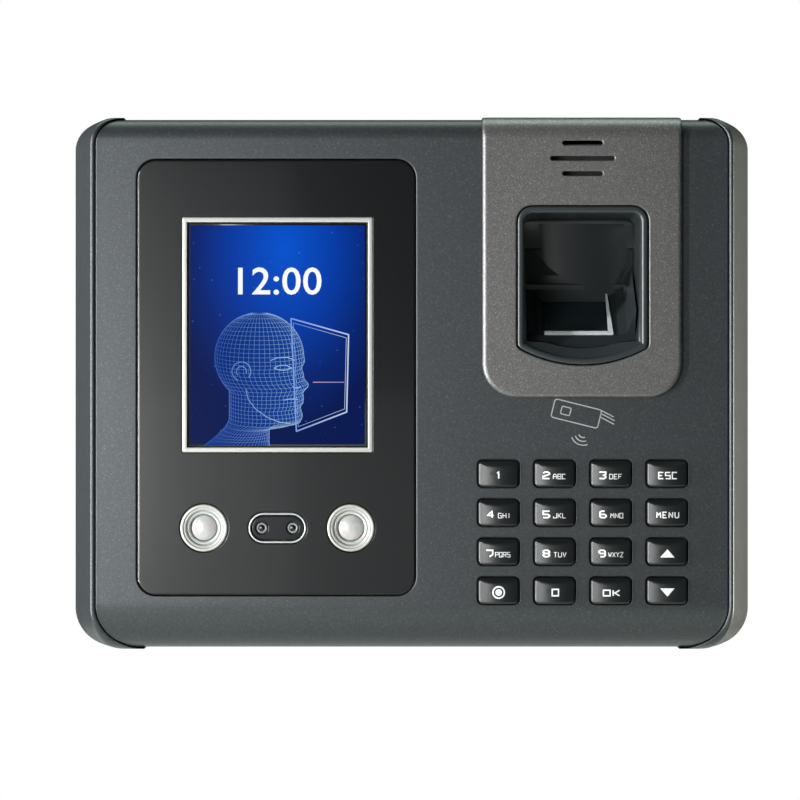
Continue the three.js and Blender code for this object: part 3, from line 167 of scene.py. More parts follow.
def rubbed_metal(name, dark, light, roughness, scale):
    """Plated or turned metal: long fine streaks in its gloss and a slight change of tone."""
    made, tree, shader = material(name, Metallic=1.0)
    streaks = add(tree, "TexNoise", {"Vector": object_place(tree, scale), "Scale": 1.0, "Detail": 3.0})
    tint = add(tree, "ValToRGB", {"Fac": streaks.outputs["Fac"]},
               stops=((0.3, linear(dark)), (0.7, linear(light))))
    spread = add(tree, "MapRange", {"Value": streaks.outputs["Fac"], "To Min": roughness - 0.05,
                                    "To Max": roughness + 0.08})
    tree.links.new(tint.outputs["Color"], shader.inputs["Base Color"])
    tree.links.new(spread.outputs[0], shader.inputs["Roughness"])
    return made


def piano_black(name, colour, roughness, **values):
    """Polished black plastic or dark glass: deep black, with a faint waviness that softens what it
    mirrors."""
    made, tree, shader = material(name, Base_Color=linear(colour), Roughness=roughness, IOR=1.49, **values)
    wave = add(tree, "TexNoise", {"Vector": object_place(tree), "Scale": 1 / 9.0, "Detail": 1.0})
    bump = add(tree, "Bump", {"Height": wave.outputs["Fac"], "Strength": 0.12, "Distance": 0.05 * MM})
    tree.links.new(bump.outputs[0], shader.inputs["Normal"])
    return made


def lit_screen():
    """Liquid crystal display behind glass: a deep blue field, brightest above its middle, with small
    stars."""
    made, tree, shader = material("lcd_glass", Base_Color=linear("#010206"), Roughness=0.2, IOR=1.15,
                                  Emission_Strength=1.0)
    place = add(tree, "TexCoord").outputs["Object"]
    x, _, z, _ = [value * MM for value in PICTURE]
    centred = add(tree, "Mapping", {"Vector": place, "Location": (-(x + 0.002) / 0.030, 0.0,
                                                                  -(z + 0.012) / 0.046),
                                    "Scale": (1 / 0.030, 0.0, 1 / 0.046)})
    glow = add(tree, "TexGradient", {"Vector": centred.outputs[0]}, gradient_type="SPHERICAL")
    field = add(tree, "ValToRGB", {"Fac": glow.outputs["Fac"]},
                stops=((0.0, linear("#00144e")), (0.25, linear("#00226e")), (0.55, linear("#0038a0")),
                       (1.0, linear("#0052cc"))))
    cells = add(tree, "TexVoronoi", {"Vector": object_place(tree, (1.0, 0.0, 1.0)), "Scale": 0.55})
    star = add(tree, "ValToRGB", {"Fac": cells.outputs["Distance"]},
               stops=((0.0, linear("#9fd0ff")), (0.10, linear("#1d4fd0")), (0.16, linear("#000000"))))
    some = add(tree, "ValToRGB", {"Fac": cells.outputs["Color"]},
               stops=((0.5, linear("#000000")), (0.95, linear("#9a9a9a"))))
    stars = add(tree, "Mix", {"Factor": 1.0, 6: star.outputs["Color"], 7: some.outputs["Color"]},
                data_type="RGBA", blend_type="MULTIPLY")
    picture = add(tree, "Mix", {"Factor": 1.0, 6: field.outputs["Color"], 7: stars.outputs[2]},
                  data_type="RGBA", blend_type="ADD")
    tree.links.new(picture.outputs[2], shader.inputs["Emission Color"])
    return made


def lit_ink(name, left, right, strength, x_from, x_to):
    """Lit picture elements of the display: their colour runs from one tone at the left to another at the
    right."""
    made, tree, shader = material(name, Base_Color=linear("#000000"), Roughness=0.4, IOR=1.05,
                                  Emission_Strength=strength)
    across = add(tree, "SeparateXYZ", {"Vector": add(tree, "TexCoord").outputs["Object"]})
    share = add(tree, "MapRange", {"Value": across.outputs["X"], "From Min": x_from * MM,
                                   "From Max": x_to * MM})
    tint = add(tree, "ValToRGB", {"Fac": share.outputs[0]}, stops=((0.0, linear(left)), (1.0, linear(right))))
    tree.links.new(tint.outputs["Color"], shader.inputs["Emission Color"])
    return made


def frosted_lens():
    """Moulded polycarbonate lamp lens, frosted inside: milky, with a sheen of its own."""
    made, tree, shader = material("frosted_polycarbonate", Roughness=0.22, IOR=1.58, Coat_Weight=0.6,
                                  Coat_Roughness=0.08, Subsurface_Weight=0.35, Subsurface_Scale=0.002)
    haze = add(tree, "TexNoise", {"Vector": object_place(tree), "Scale": 0.8, "Detail": 2.0})
    tint = add(tree, "ValToRGB", {"Fac": haze.outputs["Fac"]},
               stops=((0.3, linear("#9a9a98")), (0.7, linear("#a6a6a4"))))
    tree.links.new(tint.outputs["Color"], shader.inputs["Base Color"])
    return made


def fibreglass_board():
    """Glass-fibre circuit board under green lacquer, with lighter copper tracks showing through."""
    made, tree, shader = material("lacquered_fr4", Roughness=0.35, IOR=1.5)
    place = object_place(tree)
    tracks = add(tree, "TexBrick", {"Vector": place, "Scale": 0.2, "Mortar Size": 0.06, "Brick Width": 0.9,
                                    "Row Height": 0.45, "Color1": linear("#1c5232"),
                                    "Color2": linear("#22603b"), "Mortar": linear("#3c8a55")})
    tree.links.new(tracks.outputs["Color"], shader.inputs["Base Color"])
    return made


COVER_PAINT = metallic_paint("satin_metallic_paint", "#2d3133", "#333739", "#393d3f", "#4b4f51", 0.38, 0.5,
                             0.26)
BEZEL_PAINT = metallic_paint("warm_metallic_paint", "#535353", "#5d5d5c", "#6b6b6a", "#908f8d", 0.38, 0.6,
                             0.26)
BLACK_ACRYLIC = piano_black("polished_black_acrylic", "#0b0d0e", 0.16, Coat_Weight=0.3, Coat_Roughness=0.05)
BLACK_WELL = piano_black("glossy_black_polycarbonate", "#23282a", 0.3)
KEY_BLACK = piano_black("glossy_black_key_plastic", "#131617", 0.34)
KEY_INK = satin_plastic("white_key_ink", "#c4c8c8", "#d0d4d4", 0.45, 0.4)
COVER_INK = satin_plastic("grey_cover_ink", "#787c7d", "#8b8f90", 0.5, 0.4)
SATIN_CHROME = satin_plastic("satin_silver_plating", "#979894", "#a1a29e", 0.42, 0.5, Metallic=0.35)
CAMERA_TRIM = satin_plastic("bright_silver_plating", "#9fa2a1", "#abaead", 0.35, 0.5, Metallic=0.5)
ZINC_STEEL = rubbed_metal("zinc_plated_steel", "#8b8f90", "#b9bdbd", 0.34, (0.15, 0.15, 0.9))
TIN_STEEL = rubbed_metal("tinned_steel_shell", "#9a9c9a", "#c4c6c4", 0.3, (0.3, 0.3, 2.0))
SENSOR_GLASS = piano_black("optical_glass", "#1c2427", 0.08)
# Light grey for a strip along the sensor glass's right and bottom edges: a painted highlight where the bevels there
# catch the light.
BEVEL_HIGHLIGHT_PAINT = satin_plastic("painted_bevel_highlight", "#a9b1b1", "#d0d6d6", 0.5, 0.3)
CAMERA_GLASS = piano_black("smoked_camera_glass", "#0d1013", 0.08)
LENS_GLASS = satin_plastic("frosted_lens_barrel", "#4c4f50", "#7b7e7f", 0.55, 0.35)
DARK_PLASTIC = satin_plastic("dark_abs", "#222426", "#2c2e30", 0.5, 0.35)
RUBBER = satin_plastic("silicone_rubber", "#27272a", "#313134", 0.75, 0.6)
CELL_WRAP = satin_plastic("blue_shrink_wrap", "#2a6592", "#3877a8", 0.35, 3.0)
AMBER_FLEX = satin_plastic("polyimide_film", "#a66a25", "#be7d33", 0.35, 2.0)
CIRCUIT = fibreglass_board()
SCREEN = lit_screen()
LENS = frosted_lens()
CLOCK_INK = lit_ink("white_picture_light", "#f4f8ff", "#ffffff", 1.0, -50, -18)
HEAD_INK = lit_ink("blue_picture_light", "#3c6fd8", "#b4dcff", 0.8, -52, -30)
FRAME_INK = lit_ink("pale_picture_light", "#7fa8ee", "#d4e4ff", 0.85, -32, -16)
SCAN_INK = lit_ink("rose_picture_light", "#f2b0b4", "#8a9ce0", 0.9, -28, -17)
HEAD_FILL = lit_ink("deep_blue_picture_light", "#0a2a7c", "#164aa6", 0.8, -54, -28)


# ---------------------------------------------------------------- surfaces

def arc(x, z, radius, start, end, steps):
    """Points of a circular arc between two angles in degrees."""
    angle = np.radians(np.linspace(start, end, steps + 1))
    return np.stack([x + radius * np.cos(angle), z + radius * np.sin(angle)], axis=1)


def rounded(x, z, half_wide, half_tall, radii, steps=8, along=1):
    """Rectangle with rounded corners, anticlockwise from its bottom left: four quarter arcs joined by
    straight sides that are cut into `along` parts. Two radii are for the bottom and the top corners."""
    low, high = np.broadcast_to(radii, 2)
    quarters = [
        arc(x - half_wide + low, z - half_tall + low, low, 180, 270, steps),
        arc(x + half_wide - low, z - half_tall + low, low, 270, 360, steps),
        arc(x + half_wide - high, z + half_tall - high, high, 0, 90, steps),
        arc(x - half_wide + high, z + half_tall - high, high, 90, 180, steps),
    ]
    share = np.linspace(0, 1, along + 1)[1:-1, None]
    sides = [a[-1] + (b[0] - a[-1]) * share for a, b in zip(quarters, quarters[1:] + quarters[:1])]
    return np.concatenate([part for pair in zip(quarters, sides) for part in pair])


def circle(x, z, radius, steps):
    """A whole circle, without its first point again at the end."""
    angle = np.linspace(0, 2 * math.pi, steps, endpoint=False)
    return np.stack([x + radius * np.cos(angle), z + radius * np.sin(angle)], axis=1)


def capsule(x, z, half_wide, half_tall, steps=28):
    """Two half circles joined by straight sides."""
    reach = half_wide - half_tall
    return np.concatenate([arc(x + reach, z, half_tall, -90, 90, steps),
                           arc(x - reach, z, half_tall, 90, 270, steps)])


def inset(loop, distance):
    """A loop moved inwards: each corner goes along the sum of its two sides' normals, stretched so that both
    sides move by the distance."""
    normals = []
    for side in (loop - np.roll(loop, 1, 0), np.roll(loop, -1, 0) - loop):
        normals.append(np.stack([-side[:, 1], side[:, 0]], 1) / np.linalg.norm(side, axis=1, keepdims=True))
    one, other = normals
    return loop + distance * (one + other) / (1 + (one * other).sum(1, keepdims=True))


def stations(loop, levels):
    """Places round a loop as fractional corner numbers: each corner, and each point where a side crosses a
    level."""
    start, end = loop[:, 1], np.roll(loop[:, 1], -1)
    rise = np.where(end == start, 1e-12, end - start)
    share = (np.reshape(levels, (-1, 1)) - start) / rise
    crossed = (np.arange(len(loop)) + share)[(share > 1e-6) & (share < 1 - 1e-6)]
    return np.sort(np.concatenate([np.arange(len(loop)), crossed]))


def along(loop, places):
    """Points of a closed loop at fractional corner numbers, by straight interpolation."""
    corner = np.floor(places).astype(int)
    share = (places - corner)[:, None]
    return loop[corner % len(loop)] * (1 - share) + loop[(corner + 1) % len(loop)] * share


def within(points, loop):
    """1 for each point inside a loop and 0 outside, by counting the sides that a ray to the right crosses."""
    x, z = points[:, 0, None], points[:, 1, None]
    (x0, z0), (x1, z1) = loop.T, np.roll(loop, -1, 0).T
    spans = (z0 > z) != (z1 > z)
    cross = x0 + (z - z0) * (x1 - x0) / np.where(z1 == z0, 1e-12, z1 - z0)
    return (spans & (x < cross)).sum(1) % 2


def filled(loops, levels=()):
    """Triangles over what lies inside the first loop and outside the others, with an edge along each
    level."""
    points = np.concatenate(loops)
    edges, start = [], 0
    for loop in loops:
        number = start + np.arange(len(loop))
        edges += np.stack([number, np.roll(number, -1)], 1).tolist()
        start += len(loop)
    for level in levels:
        on = np.flatnonzero(np.abs(points[:, 1] - level) < 1e-6)
        on = on[np.argsort(points[on, 0])]
        edges += on[:len(on) // 2 * 2].reshape(-1, 2).tolist()
    _, _, triangles, origin, _, _ = delaunay_2d_cdt(points.tolist(), edges, [], 0, 1e-7)
    triangles = np.array([some[0] for some in origin])[np.array(triangles)]
    middle = points[triangles].mean(1)
    inside = sum(within(middle, loop) for loop in loops) % 2 == 1
    return points, triangles[inside]


def space(loop, depth):
    """Points (x, depth, z) of a loop at a depth, which may differ from point to point."""
    return np.stack([loop[:, 0], np.broadcast_to(depth, len(loop)), loop[:, 1]], axis=1)


def skin(rows, closed=True, caps=True):
    """Quadrilaterals between rows of points, rows[row, place], and a face over the first and the last row."""
    count, places = rows.shape[:2]
    number = np.arange(count * places).reshape(count, places)
    here, there = (number, np.roll(number, -1, 1)) if closed else (number[:, :-1], number[:, 1:])
    faces = [np.stack([here[:-1], there[:-1], there[1:], here[1:]], -1).reshape(-1, 4)]
    if caps:
        faces += [number[:1], number[-1:]]
    return rows.reshape(-1, 3), faces


def turned(x, z, profile, steps=48):
    """A (radius, depth) profile turned about the line straight out from the wall at (x, z)."""
    angle = np.linspace(0, 2 * math.pi, steps, endpoint=False)
    radius, depth = np.array(profile, float).T[:, :, None]
    rows = np.stack(np.broadcast_arrays(x + radius * np.cos(angle), depth, z + radius * np.sin(angle)), -1)
    return skin(rows)


def lip(radius, thick, margin=0.2, steps=5):
    """Profile of a plate's edge as (inset, fall) points: a flat margin, a quarter round, and the side down to
    the plate's back."""
    angle = np.radians(np.linspace(0, 90, steps + 1))
    quarter = np.stack([radius * (1 - np.sin(angle)), radius * (1 - np.cos(angle))], axis=1)
    return np.concatenate([[[radius + margin, 0]], quarter, [[0, thick]]])


def sheet(loops, thick, place, levels=()):
    """A plate with holes. Each loop is (points, radius of its rounded edge), the outer one first. place(x,
    s, fall) gives a point's place in space from its place in the flat plate and its fall below the
    face. The face and the back are the triangles between the edges' margins, and each edge is its lip
    carried round its loop."""
    parts, margins = [], []
    for number, (loop, radius) in enumerate(loops):
        side = 1 if number == 0 else -1
        profile = lip(radius, thick)
        margin = inset(loop, side * profile[0, 0])
        places = stations(margin, levels)
        loop, margin = along(loop, places), along(margin, places)
        rows = [(margin, 0)] + [(inset(loop, side * away), fall) for away, fall in profile[1:]]
        rows.append((margin, thick))
        parts.append(skin(np.stack([place(*flat.T, np.full(len(flat), fall)) for flat, fall in rows]),
                          caps=False))
        margins.append(margin)
    flat, triangles = filled(margins, levels)
    for fall in (0.0, thick):
        parts.append((place(*flat.T, np.full(len(flat), fall)), [triangles]))
    return joined(*parts)


def joined(*parts):
    """Several (points, faces) as one, with the faces' numbers moved on."""
    start, faces = 0, []
    for points, some in parts:
        faces += [np.asarray(group) + start for group in some]
        start += len(points)
    return np.concatenate([points for points, _ in parts]), faces


def flat_at(front):
    """Placing rule of a flat plate: the face lies at one depth."""
    return lambda x, s, fall: np.stack([x, front - fall, s], axis=1)


def bent_at(front, top, top_roll, bottom=-1000.0, bottom_roll=1.0):
    """Placing rule of a plate that turns back over the top and under the bottom: s is z on the flat, then the
    length round a quarter circle, then the length straight back."""
    high, low = top - top_roll, bottom + bottom_roll

    def place(x, s, fall):
        over = np.clip((s - high) / top_roll, 0, math.pi / 2)
        under = np.clip((low - s) / bottom_roll, 0, math.pi / 2)
        back = np.maximum(s - high - top_roll * math.pi / 2,
                          0) + np.maximum(low - s - bottom_roll * math.pi / 2, 0)
        depth = (front - top_roll * (1 - np.cos(over)) - bottom_roll * (1 - np.cos(under)) - back
                 - fall * np.cos(over) * np.cos(under))
        z = np.clip(s, low, high) + (top_roll - fall) * np.sin(over) - (bottom_roll - fall) * np.sin(under)
        return np.stack([x, depth, z], axis=1)
    return place


def raw_mesh(name, points, faces):
    """A mesh of points in millimetres and groups of faces."""
    mesh = bpy.data.meshes.new(name)
    mesh.from_pydata((points * (MM, -MM, MM)).tolist(), [],
                     [face for group in faces for face in group.tolist()])
    return mesh


def evaluated_mesh(thing):
    """What an object is after its modifiers, or a text object as a mesh."""
    bpy.context.view_layer.update()
    return bpy.data.meshes.new_from_object(thing.evaluated_get(bpy.context.evaluated_depsgraph_get()))


def piece(name, parts, body="housing", replaces=(), sharp=32):
    """Makes an object of (points, faces, material) parts, merges their doubles, turns the faces outwards, and
    has it ride on a body. Edges turned by more than `sharp` degrees stay sharp."""
    points, faces = joined(*[(made, some) for made, some, _ in parts])
    counts = [sum(len(group) for group in some) for _, some, _ in parts]
    finishes = list(dict.fromkeys(finish for _, _, finish in parts))
    mesh = raw_mesh(name, points, faces)
    for finish in finishes:
        mesh.materials.append(finish)
    number = np.repeat([finishes.index(finish) for _, _, finish in parts], counts)
    mesh.polygons.foreach_set("material_index", number.astype(np.int32))
    form = bmesh.new()
    form.from_mesh(mesh)
    bmesh.ops.remove_doubles(form, verts=form.verts, dist=WELD)
    bmesh.ops.dissolve_degenerate(form, edges=form.edges, dist=WELD)
    bmesh.ops.recalc_face_normals(form, faces=form.faces)
    form.to_mesh(mesh)
    form.free()
    made = bpy.data.objects.new(name, mesh)
    bpy.context.scene.collection.objects.link(made)
    finish_shading(made, sharp)
    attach(made, body)
    if replaces:
        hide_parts(*replaces)
    return made


def finish_shading(made, sharp):
    """Smooth shading, with edges turned by more than `sharp` degrees left sharp."""
    made.data.shade_smooth()
    made.data.set_sharp_from_angle(angle=math.radians(sharp))


def carved(made, operation, *tools):
    """Joins boxes or rods to a piece, or cuts them out of it, one after another, and keeps the result."""
    for points, faces in tools:
        mesh = raw_mesh("tool", points, faces)
        form = bmesh.new()
        form.from_mesh(mesh)
        bmesh.ops.recalc_face_normals(form, faces=form.faces)
        form.to_mesh(mesh)
        form.free()
        tool = bpy.data.objects.new("tool", mesh)
        bpy.context.scene.collection.objects.link(tool)
        step = made.modifiers.new("carve", "BOOLEAN")
        step.operation, step.object, step.solver = operation, tool, "EXACT"
        result = evaluated_mesh(made)
        made.modifiers.remove(step)
        made.data = result
        bpy.data.objects.remove(tool)
    return made


def box(x0, x1, d0, d1, z0, z1, corner=0.4):
    """Upright box with rounded corners seen from the front, between two depths."""
    loop = rounded((x0 + x1) / 2, (z0 + z1) / 2, (x1 - x0) / 2, (z1 - z0) / 2, corner, steps=3)
    return skin(np.stack([space(loop, d0), space(loop, d1)]))


def rod(x, z, radius, d0, d1, steps=40):
    """Round bar straight out from the wall."""
    return turned(x, z, [(radius, d0), (radius, d1)], steps)


# ---------------------------------------------------------------- housing

def cover_half_width(z):
    """Half width of the cover at a height: straight sides with a round corner at the top and the bottom."""
    corner_top, corner_bottom = TOP_CORNER - COVER_STEP, BOTTOM_CORNER - COVER_STEP
    above = np.clip(z - (COVER_TOP - corner_top), 0, corner_top)
    below = np.clip(-(COVER_TOP - corner_bottom) - z, 0, corner_bottom)
    return (COVER_SIDE - corner_top + np.sqrt(corner_top ** 2 - above ** 2)
            - corner_bottom + np.sqrt(corner_bottom ** 2 - below ** 2))


def finger_loop(grow=0.0):
    """Outline of the finger opening: straight sides and top, a shallow arc below, and round corners
    between."""
    half, arc_radius = 17.1 + grow, 33.8 + grow
    corner, top_corner = max(2 + grow, 0.5), 4.3 + grow
    corner_x = half - corner
    drop = math.sqrt((arc_radius - corner) ** 2 - corner_x ** 2)
    turn = math.degrees(math.atan2(drop, corner_x))
    top = WELL_TOP + grow
    return np.concatenate([
        arc(WELL_X - corner_x, WELL_ARC_Z - drop, corner, 180, 180 + turn, 8),
        arc(WELL_X, WELL_ARC_Z, arc_radius, 180 + turn, 360 - turn, 24)[1:-1],
        arc(WELL_X + corner_x, WELL_ARC_Z - drop, corner, 360 - turn, 360, 8),
        arc(WELL_X + half - top_corner, top - top_corner, top_corner, 0, 90, 12),
        arc(WELL_X - half + top_corner, top - top_corner, top_corner, 90, 180, 12),
    ])


def front_cover():
    place = bent_at(COVER_FRONT, COVER_TOP, TOP_ROLL, -COVER_TOP, BOTTOM_ROLL)
    high, low = COVER_TOP - TOP_ROLL, -COVER_TOP + BOTTOM_ROLL
    top_end = high + TOP_ROLL * math.pi / 2
    bottom_end = low - BOTTOM_ROLL * math.pi / 2
    s = np.concatenate([
        [bottom_end - (COVER_FRONT - BOTTOM_ROLL - COVER_BACK)],
        np.linspace(bottom_end, -56.6, 34), np.linspace(-48, 54, 8), np.linspace(61.8, top_end, 26),
        [top_end + (COVER_FRONT - TOP_ROLL - COVER_BACK)],
    ])
    z = place(s, s, 0 * s)[:, 2]
    half = cover_half_width(z)
    outer = np.concatenate([np.stack([half, s], 1), np.stack([-half, s], 1)[::-1]])
    holes = [(rounded(x, z, 5.5, 3.7, 1.5, 5), 0.25) for x in KEY_X for z in KEY_Z]
    x, z, half_wide, half_tall = WINDOW
    holes += [
        (rounded(x, z, half_wide + GAP, half_tall + GAP, WINDOW_CORNER + GAP, 12), 0.25),
        (finger_loop(), 0.1),
        (rounded(WELL_X, 57.9, 9.0, 5.3, 0.4, 3), 0.1),
    ]
    levels = np.concatenate([
        np.linspace(bottom_end - 0.6, low - 1.1, 15), [low + 0.9], [high - 0.8],
        np.linspace(high + 0.01, top_end + 0.5, 13),
    ])
    points, faces = sheet([(outer, 0.3)] + holes, COVER_THICK, place, levels)
    piece("front_cover_shell", [(points, faces, COVER_PAINT)], replaces=["front_cover"])


def draw_in(depth):
    """How far the casing's outline at a depth lies inside the widest one, sideways and up and down: a square
    law towards the wall, and towards the front a power of 1.25 sideways only."""
    back = 4 * (np.clip(WIDEST - depth, 0, None) / 10) ** 2
    return back + CHEEK_LEAN * (np.clip(depth - WIDEST, 0, None) / CHEEK_DEEP) ** 1.25, back


def casing_half(depth, wall=0.0):
    """Right half of the casing's outline at given depths, from the bottom middle to the top middle, with the
    ends of the cheeks as points of their own: shape (places, 2)."""
    depth = np.asarray(depth, float)
    sideways, upright = draw_in(depth)
    wide, tall = HALF_WIDE - sideways - wall, HALF_TALL - upright - wall
    grown = np.clip((depth - WIDEST) / CHEEK_DEEP, 0, 1)
    bottom = BOTTOM_CORNER_WIDEST + (BOTTOM_CORNER - BOTTOM_CORNER_WIDEST) * grown - wall
    top = TOP_CORNER - wall
    low_end, high_end = CHEEK_INSIDE - BOTTOM_CORNER, CHEEK_INSIDE - TOP_CORNER
    down, up = np.radians(np.linspace(270, 360, 25)), np.radians(np.linspace(0, 90, 19))
    flat = np.linspace(0, low_end, 7)
    ease = np.linspace(0, 1, 4)[:-1]
    side = np.linspace(0, 1, 9)[1:-1]
    x = np.concatenate([
        flat, low_end + (wide - bottom - low_end) * ease, wide - bottom + bottom * np.cos(down),
        wide + 0 * side, wide - top + top * np.cos(up), high_end + (wide - top - high_end) * ease[::-1],
        high_end * np.linspace(1, 0, 7),
    ])
    z = np.concatenate([
        0 * flat - tall, 0 * ease - tall, -tall + bottom + bottom * np.sin(down),
        -tall + bottom + (2 * tall - bottom - top) * side, tall - top + top * np.sin(up), 0 * ease + tall,
        np.full(7, 1.0) * tall,
    ])
    return np.stack([x, z], axis=1)


def rim_depth(z):
    """Depth of the cheeks' front edge at a height: flat, then turning back with the cover's rolls."""
    top, bottom = TOP_ROLL + GAP, BOTTOM_ROLL + GAP
    edge = HALF_TALL + GAP
    above = np.clip(z - (edge - top), 0, top)
    below = np.clip(-(edge - bottom) - z, 0, bottom)
    return RIM_FRONT - top + np.sqrt(top ** 2 - above ** 2) - bottom + np.sqrt(bottom ** 2 - below ** 2)


def rear_casing():
    """Tray and cheeks as one surface over (row, place round the outline). The rows climb the outside from the
    back face to the seam, go up the outside of the cheeks, over their rounded rim, down their inside to the
    seam, in to the tray's inner wall and down it to the floor. Between the cheeks the rows of the cheeks all
    lie on the seam."""
    base = casing_half(SEAM)
    cheek = np.zeros(len(base), bool)
    cheek[7:-7] = True
    inner_arcs = np.concatenate([
        np.tile([CHEEK_INSIDE - BOTTOM_CORNER, -HALF_TALL], (3, 1)),
        arc(CHEEK_INSIDE - BOTTOM_CORNER, -HALF_TALL + BOTTOM_CORNER, BOTTOM_CORNER, 270, 360, 24),
        np.stack([np.full(7, CHEEK_INSIDE), base[7 + 28:7 + 35, 1]], axis=1),
        arc(CHEEK_INSIDE - TOP_CORNER, HALF_TALL - TOP_CORNER, TOP_CORNER, 0, 90, 18),
        np.tile([CHEEK_INSIDE - TOP_CORNER, HALF_TALL], (3, 1)),
    ])
    inside = base.copy()
    inside[7:-7] = inner_arcs
    end = np.full(len(base), SEAM)
    for _ in range(6):
        outer_end = np.stack([casing_half(d)[i] for i, d in enumerate(end)])
        end = np.where(cheek, rim_depth(outer_end[:, 1]), SEAM)
    width = np.linalg.norm(outer_end - inside, axis=1)
    crown = np.minimum(0.6, 0.5 * width)
    rows = []
    for depth in (2.0, 2.12, 2.45, 3.0, 4.0, 5.5, 7.5, 9.5, 11.0, 11.9, 12.3, SEAM):
        tuck = max(0.0, 1.0 - math.sqrt(max(0.0, 1 - ((3.0 - depth) / 1.0) ** 2))) if depth < 3 else 0.0
        rows.append(space(casing_half(depth, tuck), depth))
    for share in np.linspace(0, 1, 15)[1:]:
        depth = SEAM + (end - crown - SEAM) * share
        rows.append(space(np.stack([casing_half(d)[i] for i, d in enumerate(depth)]), depth))
    outer_row = rows[-1][:, [0, 2]]
    for share in np.linspace(0, 1, 13)[1:]:
        height = np.sqrt(1 - (2 * share - 1) ** 2)
        rows.append(space(outer_row + (inside - outer_row) * share, end - crown + crown * height))
    for share in np.linspace(1, 0, 15)[1:]:
        rows.append(space(inside, SEAM + (end - crown - SEAM) * share))
    for wall, depth in ((2.4, SEAM), (2.4, 8.0), (2.4, 5.4), (2.9, 4.5), (3.6, 4.2)):
        rows.append(space(casing_half(depth, wall), depth))
    right = np.stack(rows)
    left = right[:, ::-1] * (-1, 1, 1)
    points, faces = skin(np.concatenate([right, left[:, 1:-1]], axis=1))
    casing = piece("rear_casing_shell", [(points, faces, COVER_PAINT)],
                   replaces=["rear_casing"])
    carved(casing, "UNION", box(-35.8, 35.8, 2.6, 19.3, -66.4, -45.2))
    sockets = ((-21, 16.6, 13.6), (13, 15.0, 7.8), (27, 9.6, 11.6))
    carved(
        casing, "DIFFERENCE",
        box(-34, 34, -1, 17.5, -64.6, -47, 1.0),
        box(-14, 14, -1, 10, -75, -63.0, 1.0),
        *[box(x - wide / 2, x + wide / 2, 17.8 - thick, 17.8, -48, -44, 0.2) for x, wide, thick in sockets],
        box(-2, 2, 4.7, 8.1, -48, -44, 0.2),
        *[rod(x, z, 2.9, -1, 5.5) for x in (-77.2, 77.2) for z in (-56, 56)],
        *[box(x - 4.3, x + 4.3, -1, 4.6, z - 0.3, z + 3.5, 0.5) for x in (-34, 34) for z in (22, -18)],
        box(-5.3, 5.3, -1, 4.6, -44.3, -42.1, 0.3),
    )
    finish_shading(casing, 32)


# ---------------------------------------------------------------- window panel, display, lamps and camera

def carried(outline, profile):
    """Rows of an outline carried through (inset, depth) points."""
    return np.stack([space(outline(away), depth) for away, depth in profile])


def window_panel():
    x, z, half_wide, half_tall = WINDOW
    picture_x, picture_z, picture_wide, picture_tall = PICTURE
    loops = [
        (rounded(x, z, half_wide, half_tall, WINDOW_CORNER, 14), 0.35),
        (rounded(picture_x, picture_z, picture_wide + 1.65, picture_tall + 1.65, 0.5, 4), 0.08),
        (capsule(CAMERA_X, LAMP_Z, 7.45 + GAP, 3.9 + GAP), 0.08),
    ]
    loops += [(circle(lamp, LAMP_Z, LAMP_HOLE, 48), 0.08) for lamp in LAMPS_X]
    points, faces = sheet(loops, 1.5, flat_at(COVER_FRONT))
    piece("window_panel_acrylic", [(points, faces, BLACK_ACRYLIC)],
          replaces=["window_panel"])


def display():
    x, z, half_wide, half_tall = PICTURE
    frame_outline = lambda away: rounded(x, z, half_wide + 1.5 - away, half_tall + 1.5 - away,
                                         max(0.4 - away, 0.12), 4)
    profile = [(0, 30.2), (0, 33.03), (0.04, 33.12), (0.12, 33.15), (1.08, 33.15), (1.16, 33.12),
               (1.2, 33.03), (1.2, 30.2), (0, 30.2)]
    points, faces = skin(carried(frame_outline, profile), caps=False)
    piece("display_trim", [(points, faces, SATIN_CHROME)], replaces=["display_border"])
    glass_outline = lambda away: rounded(x, z, half_wide - away, half_tall - away, 0.15, 2)
    masked = skin(carried(glass_outline, [(0, 29.5), (0, 32.6), (0.1, 32.68)]))
    points, faces = skin(carried(glass_outline, [(0.5, 32.6), (0.5, 32.7)]))
    body = box(x - 25.5, x + 25.5, 26.3, 29.7, z - 32.05, z + 32.05, 1.2)
    piece("display_glass_panel", [(points, faces, SCREEN), (*masked, BLACK_ACRYLIC), (*body, DARK_PLASTIC)],
          replaces=["display_module"])


def band(line, aside, depth, thick):
    """A line moved to each side by `aside`, closed in depth."""
    return skin(np.stack([space(line + aside, depth), space(line + aside, depth + thick),
                          space(line - aside, depth + thick), space(line - aside, depth)], axis=1))


def ribbons(lines, width, depth, thick=0.02):
    """Each line, (points, 2), as a flat band: the line moved to each side by half the width, closed in
    depth."""
    parts = []
    for line in lines:
        along_line = np.gradient(line, axis=0)
        aside = np.stack([-along_line[:, 1], along_line[:, 0]], 1)
        aside *= width / 2 / np.maximum(np.linalg.norm(aside, axis=1, keepdims=True), 1e-9)
        parts.append(band(line, aside, depth, thick))
    return joined(*parts)


HEAD_TALL, HEAD_CROWN, HEAD_MIDDLE = 28.9, 18.6, -39.5    # height from crown to chin, and its place
HEAD_REACH = 1.194                                        # crown to base of neck, in head heights
EDGE_TURN = math.pi / 2                                   # turn at the front edge


